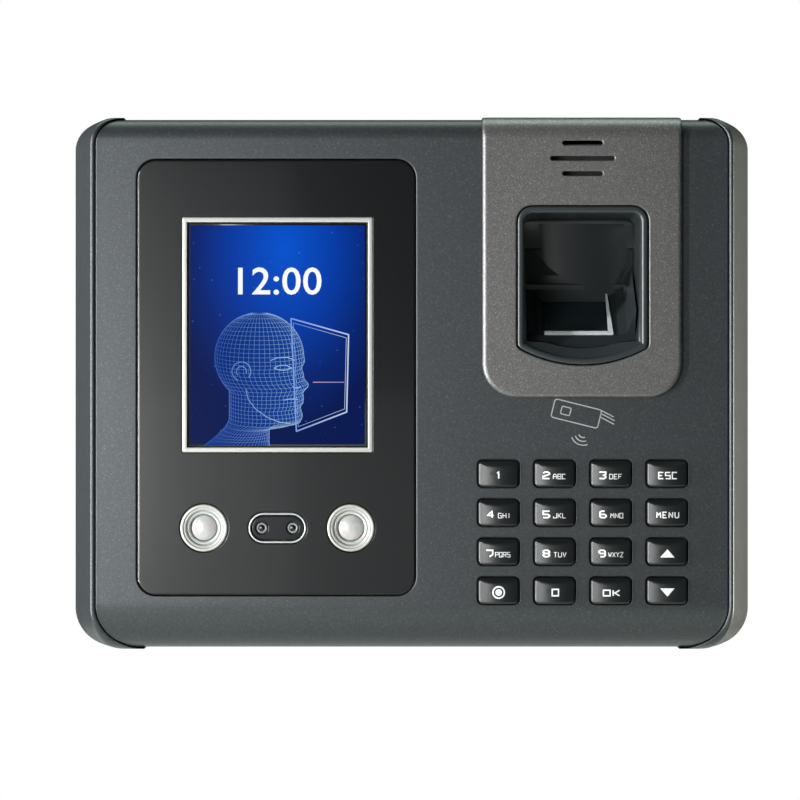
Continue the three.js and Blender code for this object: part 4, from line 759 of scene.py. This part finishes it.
def head_point(turn, rise):
    """Place on a mannequin's head and neck, drawn flat, in shares of the head's height. rise runs from the
    base of the neck, 0, to the crown, 1; turn runs from the back edge, -90 degrees, to the front edge,
    90. The skull is a circle 0.8 heights across. Below its middle a nearly upright face takes over,
    with swellings for brow, nose, lips and chin at 0.43, 0.65, 0.76, 0.8 and 0.93 of the height, and a
    hollow for the eyes at 0.5. The neck starts at the chin and widens to the shoulders. Each level
    spans its two edges by the sine of turn, and sags at its middle."""
    down = (1 - rise) * HEAD_REACH
    ball = 0.4 * np.sqrt(np.clip(1 - ((down - 0.4) / 0.4) ** 2, 0, 1))
    face = 0.4 - 0.035 * np.clip((down - 0.4) / 0.6, 0, 1) ** 2
    for place, size, height in ((0.43, 0.03, 0.008), (0.5, 0.035, -0.018), (0.65, 0.04, 0.05),
                                (0.76, 0.016, 0.014), (0.8, 0.016, 0.012), (0.85, 0.025, -0.012),
                                (0.93, 0.035, 0.014)):
        face = face + height * np.exp(-((down - place) / size) ** 2)
    under = np.clip((down - 0.975) / 0.05, 0, 1)
    front = np.where(down < 0.4, ball, face)
    front = front + (0.09 - front) * under ** 2 * (3 - 2 * under)
    neck = 0.27 + 1.9 * np.clip(down - 0.95, 0, None) ** 1.5
    back = np.where(down < 0.4, ball, np.maximum(ball, neck))
    x = (front - back) / 2 + (front + back) / 2 * np.sin(turn)
    sag = 0.055 * np.cos(turn) * np.clip(down / 0.4, 0, 1) * np.clip((HEAD_REACH - down) / 0.14, 0, 1)
    return HEAD_MIDDLE + HEAD_TALL * x, HEAD_CROWN - HEAD_TALL * (down + sag)


def picture_head():
    """Mannequin's head of the display's picture as a net of fine lit lines over a soft fill, with a frame
    that stands for the scanned field and one scan line."""
    lines = []
    for rise in np.linspace(0.04, 0.985, 34):
        turn = np.linspace(-EDGE_TURN, EDGE_TURN, 40)
        lines.append(np.stack(head_point(turn, np.full(40, rise)), axis=1))
    for turn in np.linspace(-EDGE_TURN, EDGE_TURN, 27):
        rise = np.linspace(0.0, 0.995, 60)
        lines.append(np.stack(head_point(np.full(60, turn), rise), axis=1))
    net = ribbons(lines, 0.06, PICTURE_FACE + 0.04)
    marks = [np.array(mark) for mark in (
        [(0.13, 0.5), (0.18, 0.477), (0.24, 0.475), (0.29, 0.5)],
        [(0.13, 0.5), (0.18, 0.518), (0.24, 0.518), (0.29, 0.5)],
        [(0.1, 0.432), (0.16, 0.408), (0.25, 0.404), (0.32, 0.43)],
        [(0.22, 0.786), (0.28, 0.776), (0.35, 0.782)], [(0.3, 0.668), (0.33, 0.68), (0.37, 0.672)],
        [(-0.12, 0.69), (-0.1, 0.78), (-0.03, 0.87), (0.07, 0.94), (0.18, 0.985), (0.28, 0.995)])]
    marks += [arc(-0.16, 0.53, 0.085, 110, 400, 20), arc(-0.16, 0.53, 0.045, 130, 380, 14)]
    at = np.linspace(0, 1, 24)
    marks = [np.stack([np.interp(at, np.linspace(0, 1, len(mark)), side) for side in mark.T], 1)
             for mark in marks]
    marks = [mark * (HEAD_TALL, -HEAD_TALL) + (HEAD_MIDDLE, HEAD_CROWN) for mark in marks]
    piece("picture_head_net", [(*joined(net, ribbons(marks, 0.22, PICTURE_FACE + 0.06)), HEAD_INK)])
    rise = np.linspace(0.0, 0.998, 60)
    front, back = (np.stack(head_point(turn, rise), axis=1) for turn in (EDGE_TURN, -EDGE_TURN))
    outline = np.concatenate([front, back[::-1]])
    fill = skin(np.stack([space(outline, PICTURE_FACE), space(outline, PICTURE_FACE + 0.02)]))
    piece("picture_head_fill", [(*fill, HEAD_FILL)])
    corners = np.array([[-31.3, 17.0], [-16.4, 12.8], [-16.9, -7.2], [-29.9, -12.2]])
    frame_loop = np.concatenate([corners, corners[:1]])
    share = np.linspace(0, 1, 12)[:, None]
    smooth = np.concatenate([a + (b - a) * share for a, b in zip(frame_loop, frame_loop[1:])])
    inner = (smooth - corners.mean(0)) * 0.92 + corners.mean(0)
    scan = np.array([[-25.6, 0.5], [-17.5, 0.5]])
    parts = ribbons([smooth], 0.34, PICTURE_FACE + 0.08), ribbons([inner], 0.12, PICTURE_FACE + 0.08)
    line = ribbons([scan], 0.2, PICTURE_FACE + 0.1)
    piece("picture_scan_frame", [(*joined(*parts), FRAME_INK), (*line, SCAN_INK)])


# Letters drawn as strokes on a grid four wide and six high; "|" lifts the pen.
STROKES = {
    "A": "00 04 16 36 44 40|03 43", "B": "23 43 46 06 00 40 43|03 23", "C": "46 06 00 40",
    "D": "20 00 06 36 45 41 30 20", "E": "46 06 00 40|03 33", "F": "46 06 00|03 33",
    "G": "46 06 00 40 43 23", "H": "06 00|46 40|03 43", "I": "26 20", "J": "46 40 00 02",
    "K": "06 00|46 13 03|13 40", "L": "06 00 40", "M": "00 06 23 46 40", "N": "00 06 40 46",
    "O": "20 40 46 06 00 20", "P": "00 06 46 43 03", "Q": "20 40 46 06 00 20|22 40",
    "R": "00 06 46 43 03|23 40", "S": "46 06 03 43 40 00", "T": "06 46|26 20", "U": "06 01 10 30 41 46",
    "V": "06 20 46", "W": "06 10 24 30 46", "X": "06 40|46 00", "Y": "06 23 46|23 20",
    "Z": "06 46 00 40", "0": "20 40 46 06 00 20", "1": "15 26 20", "2": "05 16 36 45 44 02 00 40",
    "3": "06 46 44 23 33 42 41 30 00", "4": "30 36 02 42", "5": "46 06 03 33 42 41 30 00",
    "6": "36 16 05 01 10 30 41 42 33 03", "7": "06 46 42 20",
    "8": "13 33 44 45 36 16 05 04 13 02 01 10 30 41 42 33", "9": "10 30 41 45 36 16 05 04 13 43",
}


def stroke(line, width, depth, thick=0.02):
    """An open line as a flat band: each point goes to both sides along the sum of its two pieces' normals,
    stretched so that the band keeps its width round a corner."""
    step = np.diff(line, axis=0)
    normal = np.stack([-step[:, 1], step[:, 0]], 1) / np.linalg.norm(step, axis=1, keepdims=True)
    one, other = np.vstack([normal[:1], normal]), np.vstack([normal, normal[-1:]])
    aside = (one + other) / np.maximum(1 + (one * other).sum(1, keepdims=True), 0.6) * width / 2
    return band(line, aside, depth, thick)


def written(text, x, z, height, width, pitch, pen):
    """A word in stroke letters, centred on (x, z) at depth 0."""
    parts = []
    for number, letter in enumerate(text):
        left = x + (number - (len(text) - 1) / 2) * pitch - width / 2
        for line in STROKES[letter].split("|"):
            grid = np.array([(int(mark[0]), int(mark[1])) for mark in line.split()], float)
            halves = [a + (b - a) * np.array([[0.0], [0.5]]) for a, b in zip(grid, grid[1:])]
            fine = np.concatenate(halves + [grid[-1:]])
            fine[-1] += 0.02 * (fine[-2] - fine[-1])
            lift = 0.004 * len(parts)
            parts.append(stroke(fine * (width / 4, height / 6) + (left, z - height / 2), pen, lift))
    return joined(*parts)


def lettering(text, x, depth, z, size, wide=1.0, bold=0.0, thick=0.02, spacing=1.0):
    """Round block letters as a closed mesh: x and z are the middle of the line, size the height of its
    capitals."""
    curve = bpy.data.curves.new("letters", "FONT")
    curve.body, curve.size, curve.offset, curve.extrude = text, 1.0, bold, 0.5
    curve.space_character = spacing
    curve.resolution_u = 4
    holder = bpy.data.objects.new("letters", curve)
    bpy.context.scene.collection.objects.link(holder)
    mesh = evaluated_mesh(holder)
    points = np.zeros(len(mesh.vertices) * 3)
    mesh.vertices.foreach_get("co", points)
    points = points.reshape(-1, 3)
    faces = [np.array([list(face.vertices)]) for face in mesh.polygons]
    bpy.data.objects.remove(holder)
    cap = 0.729
    flat = points[:, :2] * (size / cap * wide, size / cap)
    flat -= ((flat[:, 0].min() + flat[:, 0].max()) / 2, size / 2)
    return np.stack([x + flat[:, 0], depth + np.where(points[:, 2] > 0, thick, 0), z + flat[:, 1]], 1), faces


def lamp(x, side):
    """Lamp: a grey outer ring, a bright rounded ring, a dished inner ring, and a domed frosted lens."""
    trim = turned(x, LAMP_Z, [
        (3.5, 26.7), (6.1, 26.7), (6.1, 33.0), (6.04, 33.18), (5.9, 33.27), (5.75, 33.3), (5.5, 33.3),
        (5.42, 33.27),
        (5.36, 33.2), (5.3, 33.05), (5.22, 32.98), (5.05, 33.02), (4.85, 33.0), (4.65, 32.88), (4.5, 32.65),
        (4.42, 32.4), (4.36, 32.3), (3.5, 32.0), (3.5, 26.7),
    ], 64)
    bowl = turned(x, LAMP_Z, [(3.42, 31.0), (4.34, 31.9), (4.34, 32.32), (4.15, 32.45), (3.9, 32.42), (3.65, 32.25),
                              (3.5, 31.98), (3.42, 31.0)], 64)
    piece(f"lamp_{side}_ring", [(trim[0], trim[1][:1], SATIN_CHROME), (bowl[0], bowl[1][:1], LENS)],
          replaces=[f"lamp_{side}_bezel"], sharp=50)
    angle = np.radians(np.linspace(0, 90, 12))
    dome = [(3.2, 26.7), (3.38, 31.0)] + [(3.38 * math.cos(a) + 0.001,
                                           31.5 + 1.2 * math.sin(a)) for a in angle]
    piece(f"lamp_{side}_dome", [(*turned(x, LAMP_Z, [(0.001, 26.7)] + dome, 64), LENS)],
          replaces=[f"lamp_{side}_lens"], sharp=50)


def camera():
    ring = lambda away: capsule(CAMERA_X, LAMP_Z, 7.45 - away, 3.9 - away)
    profile = [(0, 30.5), (0, 33.05), (0.05, 33.15), (0.16, 33.2), (0.32, 33.2), (0.43, 33.15), (0.48, 33.05),
               (0.48, 30.5), (0, 30.5)]
    piece("camera_trim", [(*skin(carried(ring, profile), caps=False), CAMERA_TRIM)],
          replaces=["camera_ring"])
    spots = [(circle(x, LAMP_Z, 1.7, 40), 0.1) for x in LENSES_X]
    loops = [(capsule(CAMERA_X, LAMP_Z, 6.6, 3.05), 0.15)] + spots
    points, faces = sheet(loops, 0.8, flat_at(32.7))
    piece("camera_cover_glass", [(points, faces, CAMERA_GLASS)],
          replaces=["camera_glass"])
    for side, x in zip(("left", "right"), LENSES_X):
        barrel = turned(x, LAMP_Z, [
            (0.001, 26.7), (2.1, 26.7), (2.1, 30.7), (1.4, 31.1), (1.4, 32.35), (1.33, 32.5), (1.2, 32.6),
            (1.02, 32.6), (0.9, 32.5), (0.82, 32.3), (0.78, 32.25),
        ], 40)
        glass = turned(x, LAMP_Z, [(0.78, 32.2), (0.78, 32.26), (0.6, 32.4), (0.36, 32.48), (0.001, 32.52)],
                       40)
        piece(f"camera_lens_{side}_barrel", [(*barrel, LENS_GLASS), (*glass, CAMERA_GLASS)],
              replaces=[f"camera_lens_{side}"], sharp=40)


# ---------------------------------------------------------------- bezel, finger well and sensor

def sensor_bezel():
    top_roll, top, back = 6.05, 69.35, 14.4
    end = top - top_roll + top_roll * math.pi / 2 + BEZEL_FRONT - top_roll - back
    bottom = -3.4
    outer = rounded(BEZEL_X, (end + bottom) / 2, 25.8, (end - bottom) / 2, (8.8, 1.7), 16)
    slots = [capsule(WELL_X, 62.3 - 3.95 * row, wide / 2, 0.6, 14)
             for row, wide in enumerate((10.4, 16.6, 10.4))]
    loops = [(outer, 1.0), (finger_loop(), 0.35)] + [(slot, 0.22) for slot in slots]
    levels = np.linspace(top - top_roll + 0.32, top - top_roll + top_roll * math.pi / 2 + 0.4, 13)
    bent = bent_at(BEZEL_FRONT, top, top_roll)

    def thinned(x, s, fall):
        """The plate keeps 0.28 of its thickness once it has turned back over the top."""
        return bent(x, s, fall * (1 - 0.72 * np.clip((s - top + top_roll) / top_roll, 0, 1)))

    points, faces = sheet(loops, 1.08, thinned, levels)
    piece("sensor_bezel_shell", [(points, faces, BEZEL_PAINT)], replaces=["sensor_bezel"],
          sharp=40)


FLOOR = np.array([(6.0, 31.2), (9.5, 29.6), (12.6, 27.0), (25.0, 11.5), (25.25, 12.5), (26.5, 12.8),
                  (26.9, 11.7), (31.0, 10.9), (35.8, 10.6), (36.3, 11.4), (42.5, 12.2), (44.6, 14.0)])


def floor_depth(z):
    """Depth of the well's floor at a height: straight stretches between the FLOOR points."""
    return np.interp(z, FLOOR[:, 0], FLOOR[:, 1])


def slope_frame():
    """Middle of the slanted window, and its directions along the slope and out of it, as (depth, z)."""
    along_slope = np.array([-15.5, 12.4]) / math.hypot(15.5, 12.4)
    return np.array([floor_depth(18.8), 18.8]), along_slope, np.array([along_slope[1], -along_slope[0]])


def on_slope(u, v, out):
    """Points from (across, along, out of) the slope."""
    middle, along_slope, normal = slope_frame()
    d, z = middle[:, None] + along_slope[:, None] * v + normal[:, None] * out
    return np.stack([WELL_X - 1.2 + u, d, z], axis=1)


def sensor_well():
    """Rim, mouth, walls and floor of the finger well. The rows follow the opening's outline inwards over the
    rounded rim, in over a crescent at the bottom, and back along the wall to the floor; the floor is the
    FLOOR profile, with a bevelled opening for the sensor's glass."""
    mouth, deep = finger_loop(-2.0), finger_loop(-4.4)
    low = np.clip((11.5 - mouth[:, 1]) / 2.5, 0, 1)[:, None]
    crescent = mouth * (1 - low) + deep * low
    quarter = np.radians(np.linspace(0, 90, 6))
    rows = [(finger_loop(-GAP), 30.6), (finger_loop(-GAP), 34.35)]
    rows += [(finger_loop(-GAP - 0.45 * (1 - math.cos(a))), 34.35 + 0.45 * math.sin(a)) for a in quarter[1:]]
    rows += [(finger_loop(-1.3 - 0.7 * math.sin(a)), 34.8 - 0.7 * (1 - math.cos(a))) for a in quarter]
    last = low[:, 0]
    rows += [(mouth, 33.9), (mouth * 0.75 + crescent * 0.25, 33.7 - 0.1 * last),
             (crescent, 33.5 - 1.0 * last), (crescent, 33.3 - 1.3 * last)]
    levels = FLOOR[1:-1, 0]
    floor_loop = crescent + (WELL_X, 26.0) * np.array([0.03]) - crescent * 0.03
    places = stations(floor_loop, levels)
    floor_edge = along(floor_loop, places)
    rings = [space(along(loop, places), np.interp(places, np.arange(len(loop) + 1), np.append(depth,
                                                                                              depth[0]))
                   if np.ndim(depth) else depth) for loop, depth in rows]
    rings.append(space(floor_edge, floor_depth(floor_edge[:, 1])))
    outside = finger_loop(-GAP)
    back_edge = along(outside, places)
    back_rows = [space(back_edge, 30.6), space(back_edge, np.minimum(floor_depth(back_edge[:, 1]) - 1.8,
                                                                     29.0))]
    half_across, half_along = 8.4, 8.3
    corner = np.array([(-1, -1), (1, -1), (1, 1), (-1, 1)])
    steps = ((1.3, 0.0), (0.0, -1.1), (0.0, -2.6))
    opening = [on_slope(*(corner * (half_across + grow, half_along + grow)).T, out) for grow, out in steps]
    hole = opening[0][:, [0, 2]]
    floor_flat, floor_faces = filled([floor_edge, hole], levels)
    back_flat, back_faces = filled([back_edge, opening[-1][:, [0, 2]]], [])
    shell = joined(
        skin(np.stack(back_rows[::-1] + rings), caps=False),
        (space(floor_flat, floor_depth(floor_flat[:, 1])), [floor_faces]),
    )
    bevel = skin(np.stack(opening[:2]), caps=False)
    wall = skin(np.stack(opening[1:] + [space(opening[-1][:, [0, 2]],
                                              np.minimum(floor_depth(opening[-1][:, 2]) - 1.8, 29.0))]),
                                              caps=False)
    back = (space(back_flat, np.minimum(floor_depth(back_flat[:, 1]) - 1.8, 29.0)), [back_faces])
    guides = []
    for side in (-1, 1):
        u = side * np.array([10.9, 13.2, 15.2, 15.2])
        out = np.array([0.15, 1.3, 7.5, -1.0])
        v = np.linspace(-9.6, 11.0, 9)
        rows = np.stack([on_slope(u, np.full(4, s), out + np.array([0, 0.2, -0.5, 0]) * (s / 8)) for s in v])
        guides.append(skin(rows))
    piece("sensor_well_body", [(*shell, BLACK_WELL), (*bevel, BLACK_WELL), (*wall, BLACK_WELL), (*back,
                                                                                                 BLACK_WELL),
                               (*joined(*guides), BLACK_WELL)],
          replaces=["sensor_well"], sharp=38)
    steps = ((0, -6.4), (0, -1.5), (0.25, -1.3))
    prism = [on_slope(*(corner * (8.35 - away, 8.1 - away)).T, out) for away, out in steps]
    # An L-shaped light grey strip along the right and bottom edges of the sensor glass, widest at the bottom right:
    # a painted highlight standing in for the bevels there catching light from the left and above.
    edge = np.array([(-8.3, -9.2), (9.6, -9.2), (8.8, 8.3), (8.4, 8.3), (8.4, -8.4), (-8.3, -8.4)])
    highlight_strip = skin(np.stack([on_slope(*edge.T, out) for out in (-0.6, 0.45)]))
    piece("sensor_window_glass", [(*skin(np.stack(prism)), SENSOR_GLASS), (*highlight_strip, BEVEL_HIGHLIGHT_PAINT)],
          replaces=["sensor_prism"])


# ---------------------------------------------------------------- keypad

# What is printed on each key: (text, shift to the right, kind of letters).
LEGENDS = {
    "key_1": (("1", 0.0, "digit"),), "key_2": (("2", -2.2, "digit"), ("ABC", 1.15, "small")),
    "key_3": (("3", -2.2, "digit"), ("DEF", 1.15, "small")), "key_esc": (("ESC", 0.1, "short"),),
    "key_4": (("4", -2.1, "digit"), ("GHI", 1.5, "small")), "key_5": (("5", -2.2, "digit"), ("JKL", 1.2,
                                                                                             "small")),
    "key_6": (("6", -2.1, "digit"), ("MNO", 1.45, "small")), "key_menu": (("MENU", 0.1, "word"),),
    "key_7": (("7", -2.35, "digit"), ("PQRS", 1.05, "narrow")),
    "key_8": (("8", -2.2, "digit"), ("TUV", 1.3, "small")),
    "key_9": (("9", -2.35, "digit"), ("WXYZ", 1.2, "narrow")), "key_up": (), "key_power": (),
    "key_0": (("0", 0.1, "digit"),), "key_ok": (("OK", 0.1, "large"),), "key_down": (),
}
LETTERS = {                      # height, width, pitch and pen
    "digit": (1.65, 1.6, 2.2, 0.36), "small": (1.2, 0.82, 1.17, 0.18), "narrow": (1.2, 0.74, 1.02, 0.17),
    "word": (1.45, 0.95, 1.56, 0.26), "short": (1.6, 1.2, 1.76, 0.3), "large": (1.45, 1.7, 2.5, 0.33),
}


def crown_depth(x, z, key_x, key_z):
    """Depth of a key's face: a cylinder of 15.5 mm radius about an upright axis, and a facet that falls away
    along its top edge."""
    radius = 15.5
    face = KEY_TOP - radius + np.sqrt(radius ** 2 - (x - key_x) ** 2)
    brow = KEY_TOP - 0.42 - 1.1 * (z - key_z - 2.3)
    return np.minimum(face, brow)


def key(name, x, z):
    """Cap as its outline carried up the side, over a quarter round and in over the crown, with a flange
    behind, a plunger, and the printed marks laid on the crown."""
    outline = lambda away: rounded(x, z, 5.2 - away, 3.4 - away, max(1.2 - away, 0.35), 6, 8)
    edge = outline(0)
    rows = [space(edge, 30.0), space(edge, crown_depth(*edge.T, x, z) - 0.5)]
    for angle in np.radians([18, 36, 54, 72, 90]):
        loop = outline(0.5 * (1 - math.cos(angle)))
        rows.append(space(loop, crown_depth(*loop.T, x, z) - 0.5 * (1 - math.sin(angle))))
    for away in (0.7, 1.0, 1.3, 1.7, 2.2, 2.8, 3.25):
        loop = rounded(x, z, 5.2 - away, 3.4 - away, max(1.2 - away, 0.1), 6, 8)
        rows.append(space(loop, crown_depth(*loop.T, x, z)))
    cap = skin(np.stack(rows))
    flange = box(x - 6, x + 6, 29.7, 30.5, z - 4.2, z + 4.2, 1.2)
    plunger = rod(x, z, 2.0, 26.7, 29.9, 24)
    parts = [(*cap, KEY_BLACK), (*flange, DARK_PLASTIC), (*plunger, DARK_PLASTIC)]
    marks = []
    for text, shift, kind in LEGENDS[name]:
        height, width, pitch, pen = LETTERS[kind]
        marks.append(written(text, x + shift, z - 0.4 - (2.07 - height - pen) / 2, height, width, pitch, pen))
    if name in ("key_up", "key_down"):
        way = 1 if name == "key_up" else -1
        share = np.linspace(-1, 1, 13)
        wide = np.stack([x + 1.85 * share, z - 0.4 - 1.05 * way + 0 * share], 1)
        tip = np.stack([x + 1.85 * share, z - 0.4 + way * (1.05 - 2.1 * np.abs(share) * 0.999)], 1)
        marks.append(skin(np.stack([space(wide, 0.0), space(wide, 0.02), space(tip, 0.02), space(tip, 0.0)],
                                   axis=1)))
    if name == "key_power":
        ring = turned(x, z - 0.4, [(1.28, 0.0), (1.28, 0.02), (1.66, 0.02), (1.66, 0.0)], 32)
        marks.append((ring[0], ring[1][:1]))
        marks.append(turned(x, z - 0.4, [(0.85, 0.0), (0.85, 0.02)], 24))
    for points, faces in marks:
        points[:, 1] += crown_depth(points[:, 0], points[:, 2], x, z) + 0.005
        parts.append((points, faces, KEY_INK))
    piece(f"{name}_cap", parts, body=name, replaces=[name], sharp=40)


def keypad():
    """Sixteen keys in four rows of four."""
    for row, z in zip(KEYS, KEY_Z):
        for name, x in zip(row, KEY_X):
            key(name, x, z)


def reader_mark():
    """Printed sign for the card reader under the bezel: a tilted card with a chip, a hand's three strokes and
    three waves, drawn as thin lines."""
    tilt = math.radians(-14)
    spin = np.array([(math.cos(tilt), math.sin(tilt)), (-math.sin(tilt), math.cos(tilt))])
    centre = np.array((42.5, -7.6))
    card = rounded(0, 0, 6.2, 2.7, 0.7, 4)
    card = np.concatenate([card, card[:1]]) * (1, 0.9) @ spin + centre
    chip = rounded(-2.8, 0.0, 1.2, 1.0, 0.3, 3)
    chip = np.concatenate([chip, chip[:1]]) @ spin + centre
    strokes = [np.array([(a, 1.6 - 0.9 * i), (a + 3.6, 0.7 - 0.9 * i)]) @ spin + centre + (5.6, -0.6)
               for i, a in enumerate((0.4, 0.9, 0.9))]
    waves = [arc(44.3, -12.6, radius, 200, 290, 12) for radius in (1.2, 2.2, 3.2)]
    parts = ribbons([card, chip] + strokes + waves, 0.28, COVER_FRONT + 0.005)
    piece("card_reader_mark", [(*parts, COVER_INK)])


# ---------------------------------------------------------------- wall plate, screws and sockets

def wall_plate():
    holes = [(circle(x, z, 2.25, 32), 0.15) for x in (-44, 44) for z in (-32, 32)]
    plate = sheet([(rounded(0, 0, 58, 44, 5, 10), 0.25)] + holes, 1.6, flat_at(1.6))
    hooks = []
    for x in (-34, 34):
        for z in (22, -18):
            hooks += [box(x - 4, x + 4, 1.3, 5.7, z, z + 1.2, 0.3),
                      box(x - 4, x + 4, 4.5, 5.7, z, z + 3.2, 0.3)]
    tab = skin(np.stack([
        np.stack([5 * np.array([-1, 1, 1, -1]), np.array([0.0, 0.0, 9.0, 9.0]), np.full(4, z)], 1)
        for z in (-44, -42.4)
    ]))
    piece("wall_plate_steel", [(*joined(plate, tab, *hooks), ZINC_STEEL)],
          replaces=["wall_plate"])


def case_screws():
    places = [(-77.2, 56), (77.2, 56), (-77.2, -56), (77.2, -56)]
    for number, (x, z) in enumerate(places, 1):
        made = piece(f"case_screw_{number}_steel", [(*turned(x, z, [
            (0.001, 3.4), (1.5, 3.42), (2.2, 3.5), (2.5, 3.7), (2.6, 4.0), (2.6, 5.2), (1.3, 5.2),
            (1.3, 21.5), (0.6, 22.2), (0.001, 22.2),
        ], 40), ZINC_STEEL)], replaces=[f"case_screw_{number}"])
        carved(made, "DIFFERENCE", box(x - 1.5, x + 1.5, 2, 4.4, z - 0.35, z + 0.35, 0.05),
               box(x - 0.35, x + 0.35, 2, 4.4, z - 1.5, z + 1.5, 0.05))
        finish_shading(made, 32)


CAD_FINISHES = {
    "lamp_board": CIRCUIT, "keypad_board": CIRCUIT, "antenna_board": CIRCUIT, "main_board": CIRCUIT,
    "sensor_module": DARK_PLASTIC, "speaker": DARK_PLASTIC, "power_socket": DARK_PLASTIC,
    "keypad_mat": RUBBER, "battery_pack": CELL_WRAP, "network_socket": TIN_STEEL, "usb_socket": TIN_STEEL,
    "display_cable": AMBER_FLEX,
    "keypad_cable": AMBER_FLEX, "plate_screw": ZINC_STEEL, "board_screw_1": ZINC_STEEL,
    "board_screw_2": ZINC_STEEL, "board_screw_3": ZINC_STEEL, "board_screw_4": ZINC_STEEL,
}


def cad_finishes():
    for name, finish in CAD_FINISHES.items():
        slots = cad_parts[name].data.materials
        if not slots:
            slots.append(finish)
        for number in range(len(slots)):
            slots[number] = finish


# ---------------------------------------------------------------- studio

def area_light(name, place, aim, size, power, tint="#ffffff"):
    light = bpy.data.lights.new(name, "AREA")
    light.shape, light.size, light.size_y, light.energy = "RECTANGLE", *size, power
    light.color = linear(tint)[:3]
    holder = bpy.data.objects.new(name, light)
    bpy.context.scene.collection.objects.link(holder)
    holder.location = place
    holder.rotation_euler = (aim - holder.location).to_track_quat("-Z", "Y").to_euler()


def studio():
    scene = bpy.context.scene
    scene.view_settings.view_transform = "Standard"
    eye = bpy.data.objects.new("camera", bpy.data.cameras.new("camera"))
    scene.collection.objects.link(eye)
    eye.location = (-0.0031, -0.833, -0.0041)
    eye.rotation_euler = (math.pi / 2, 0, 0)
    eye.data.lens, eye.data.sensor_width = 139.2, 36
    eye.data.clip_start, eye.data.clip_end = 0.05, 20
    scene.camera = eye

    world = bpy.data.worlds.new("studio")
    scene.world = world
    world.use_nodes = True
    tree = world.node_tree
    tree.nodes.clear()
    seen = add(tree, "LightPath").outputs["Is Camera Ray"]
    room = add(tree, "Background", {"Color": linear("#ffffff"), "Strength": 0.05})
    paper = add(tree, "Background", {"Color": linear("#ffffff"), "Strength": 1.0})
    mixed = add(tree, "MixShader", {0: seen, 1: room.outputs[0], 2: paper.outputs[0]})
    add(tree, "OutputWorld", {"Surface": mixed.outputs[0]})

    middle = eye.location.copy()
    middle.y = -0.03
    area_light("window_near_left", (-0.20, -0.55, -0.03), middle, (0.1, 0.1), 0.6)
    area_light("window_side", (-0.25, -0.45, 0.05), middle, (0.1, 0.2), 0.7)
    area_light("window_left", (-0.30, -0.75, -0.05), middle, (0.3, 0.4), 1.1)
    area_light("edge_strip", (-0.75, -0.50, 0.0), middle, (0.06, 0.7), 15.0)
    area_light("strip_left", (-0.85, -0.15, 0.0), middle, (0.1, 0.7), 7.0)
    area_light("strip_low_left", (-0.7, -0.15, -0.4), middle, (0.1, 0.4), 12.0)
    area_light("card_behind_left", (-0.22, -1.2, -0.05), middle, (0.3, 0.4), 0.22)
    area_light("card_behind", (0.0, -1.2, -0.1), middle, (0.4, 0.2), 0.10)
    area_light("rim_top", (0.0, 0.1, 0.6), middle, (0.9, 0.3), 3.5, "#e6fff2")
    area_light("low_fill", (-0.1, -0.2, -0.45), middle, (0.8, 0.25), 0.6, "#d0d8ff")
    area_light("strip_right", (0.7, 0.1, -0.15), middle, (0.1, 0.4), 17.0, "#fffbe6")

    disc = circle(0, 0, 350, 96)
    mesh = bpy.data.meshes.new("floor")
    top, under = ([(x * MM, y * MM, -h) for x, y in disc.tolist()] for h in (0.165, 0.175))
    ring = np.arange(96)
    sides = np.stack([ring, ring + 96, np.roll(ring, -1) + 96, np.roll(ring, -1)], 1)
    mesh.from_pydata(top + under, [], [ring.tolist(), (ring[::-1] + 96).tolist()] + sides.tolist())
    floor = bpy.data.objects.new("floor", mesh)
    floor.data.materials.append(satin_plastic("pale_studio_paper", "#e9e9e7", "#efefed", 0.8, 6.0))
    scene.collection.objects.link(floor)


studio()
rear_casing()
front_cover()
window_panel()
display()
for centre, name in zip(LAMPS_X, ("left", "right")):
    lamp(centre, name)
camera()
sensor_bezel()
sensor_well()
keypad()
reader_mark()
picture_head()
piece("picture_clock", [(*lettering("12:00", -34.2, PICTURE_FACE + 0.04, 26.9, 7.2, wide=1.06, bold=0.008,
                                    spacing=1.03), CLOCK_INK)])
wall_plate()
case_screws()
cad_finishes()
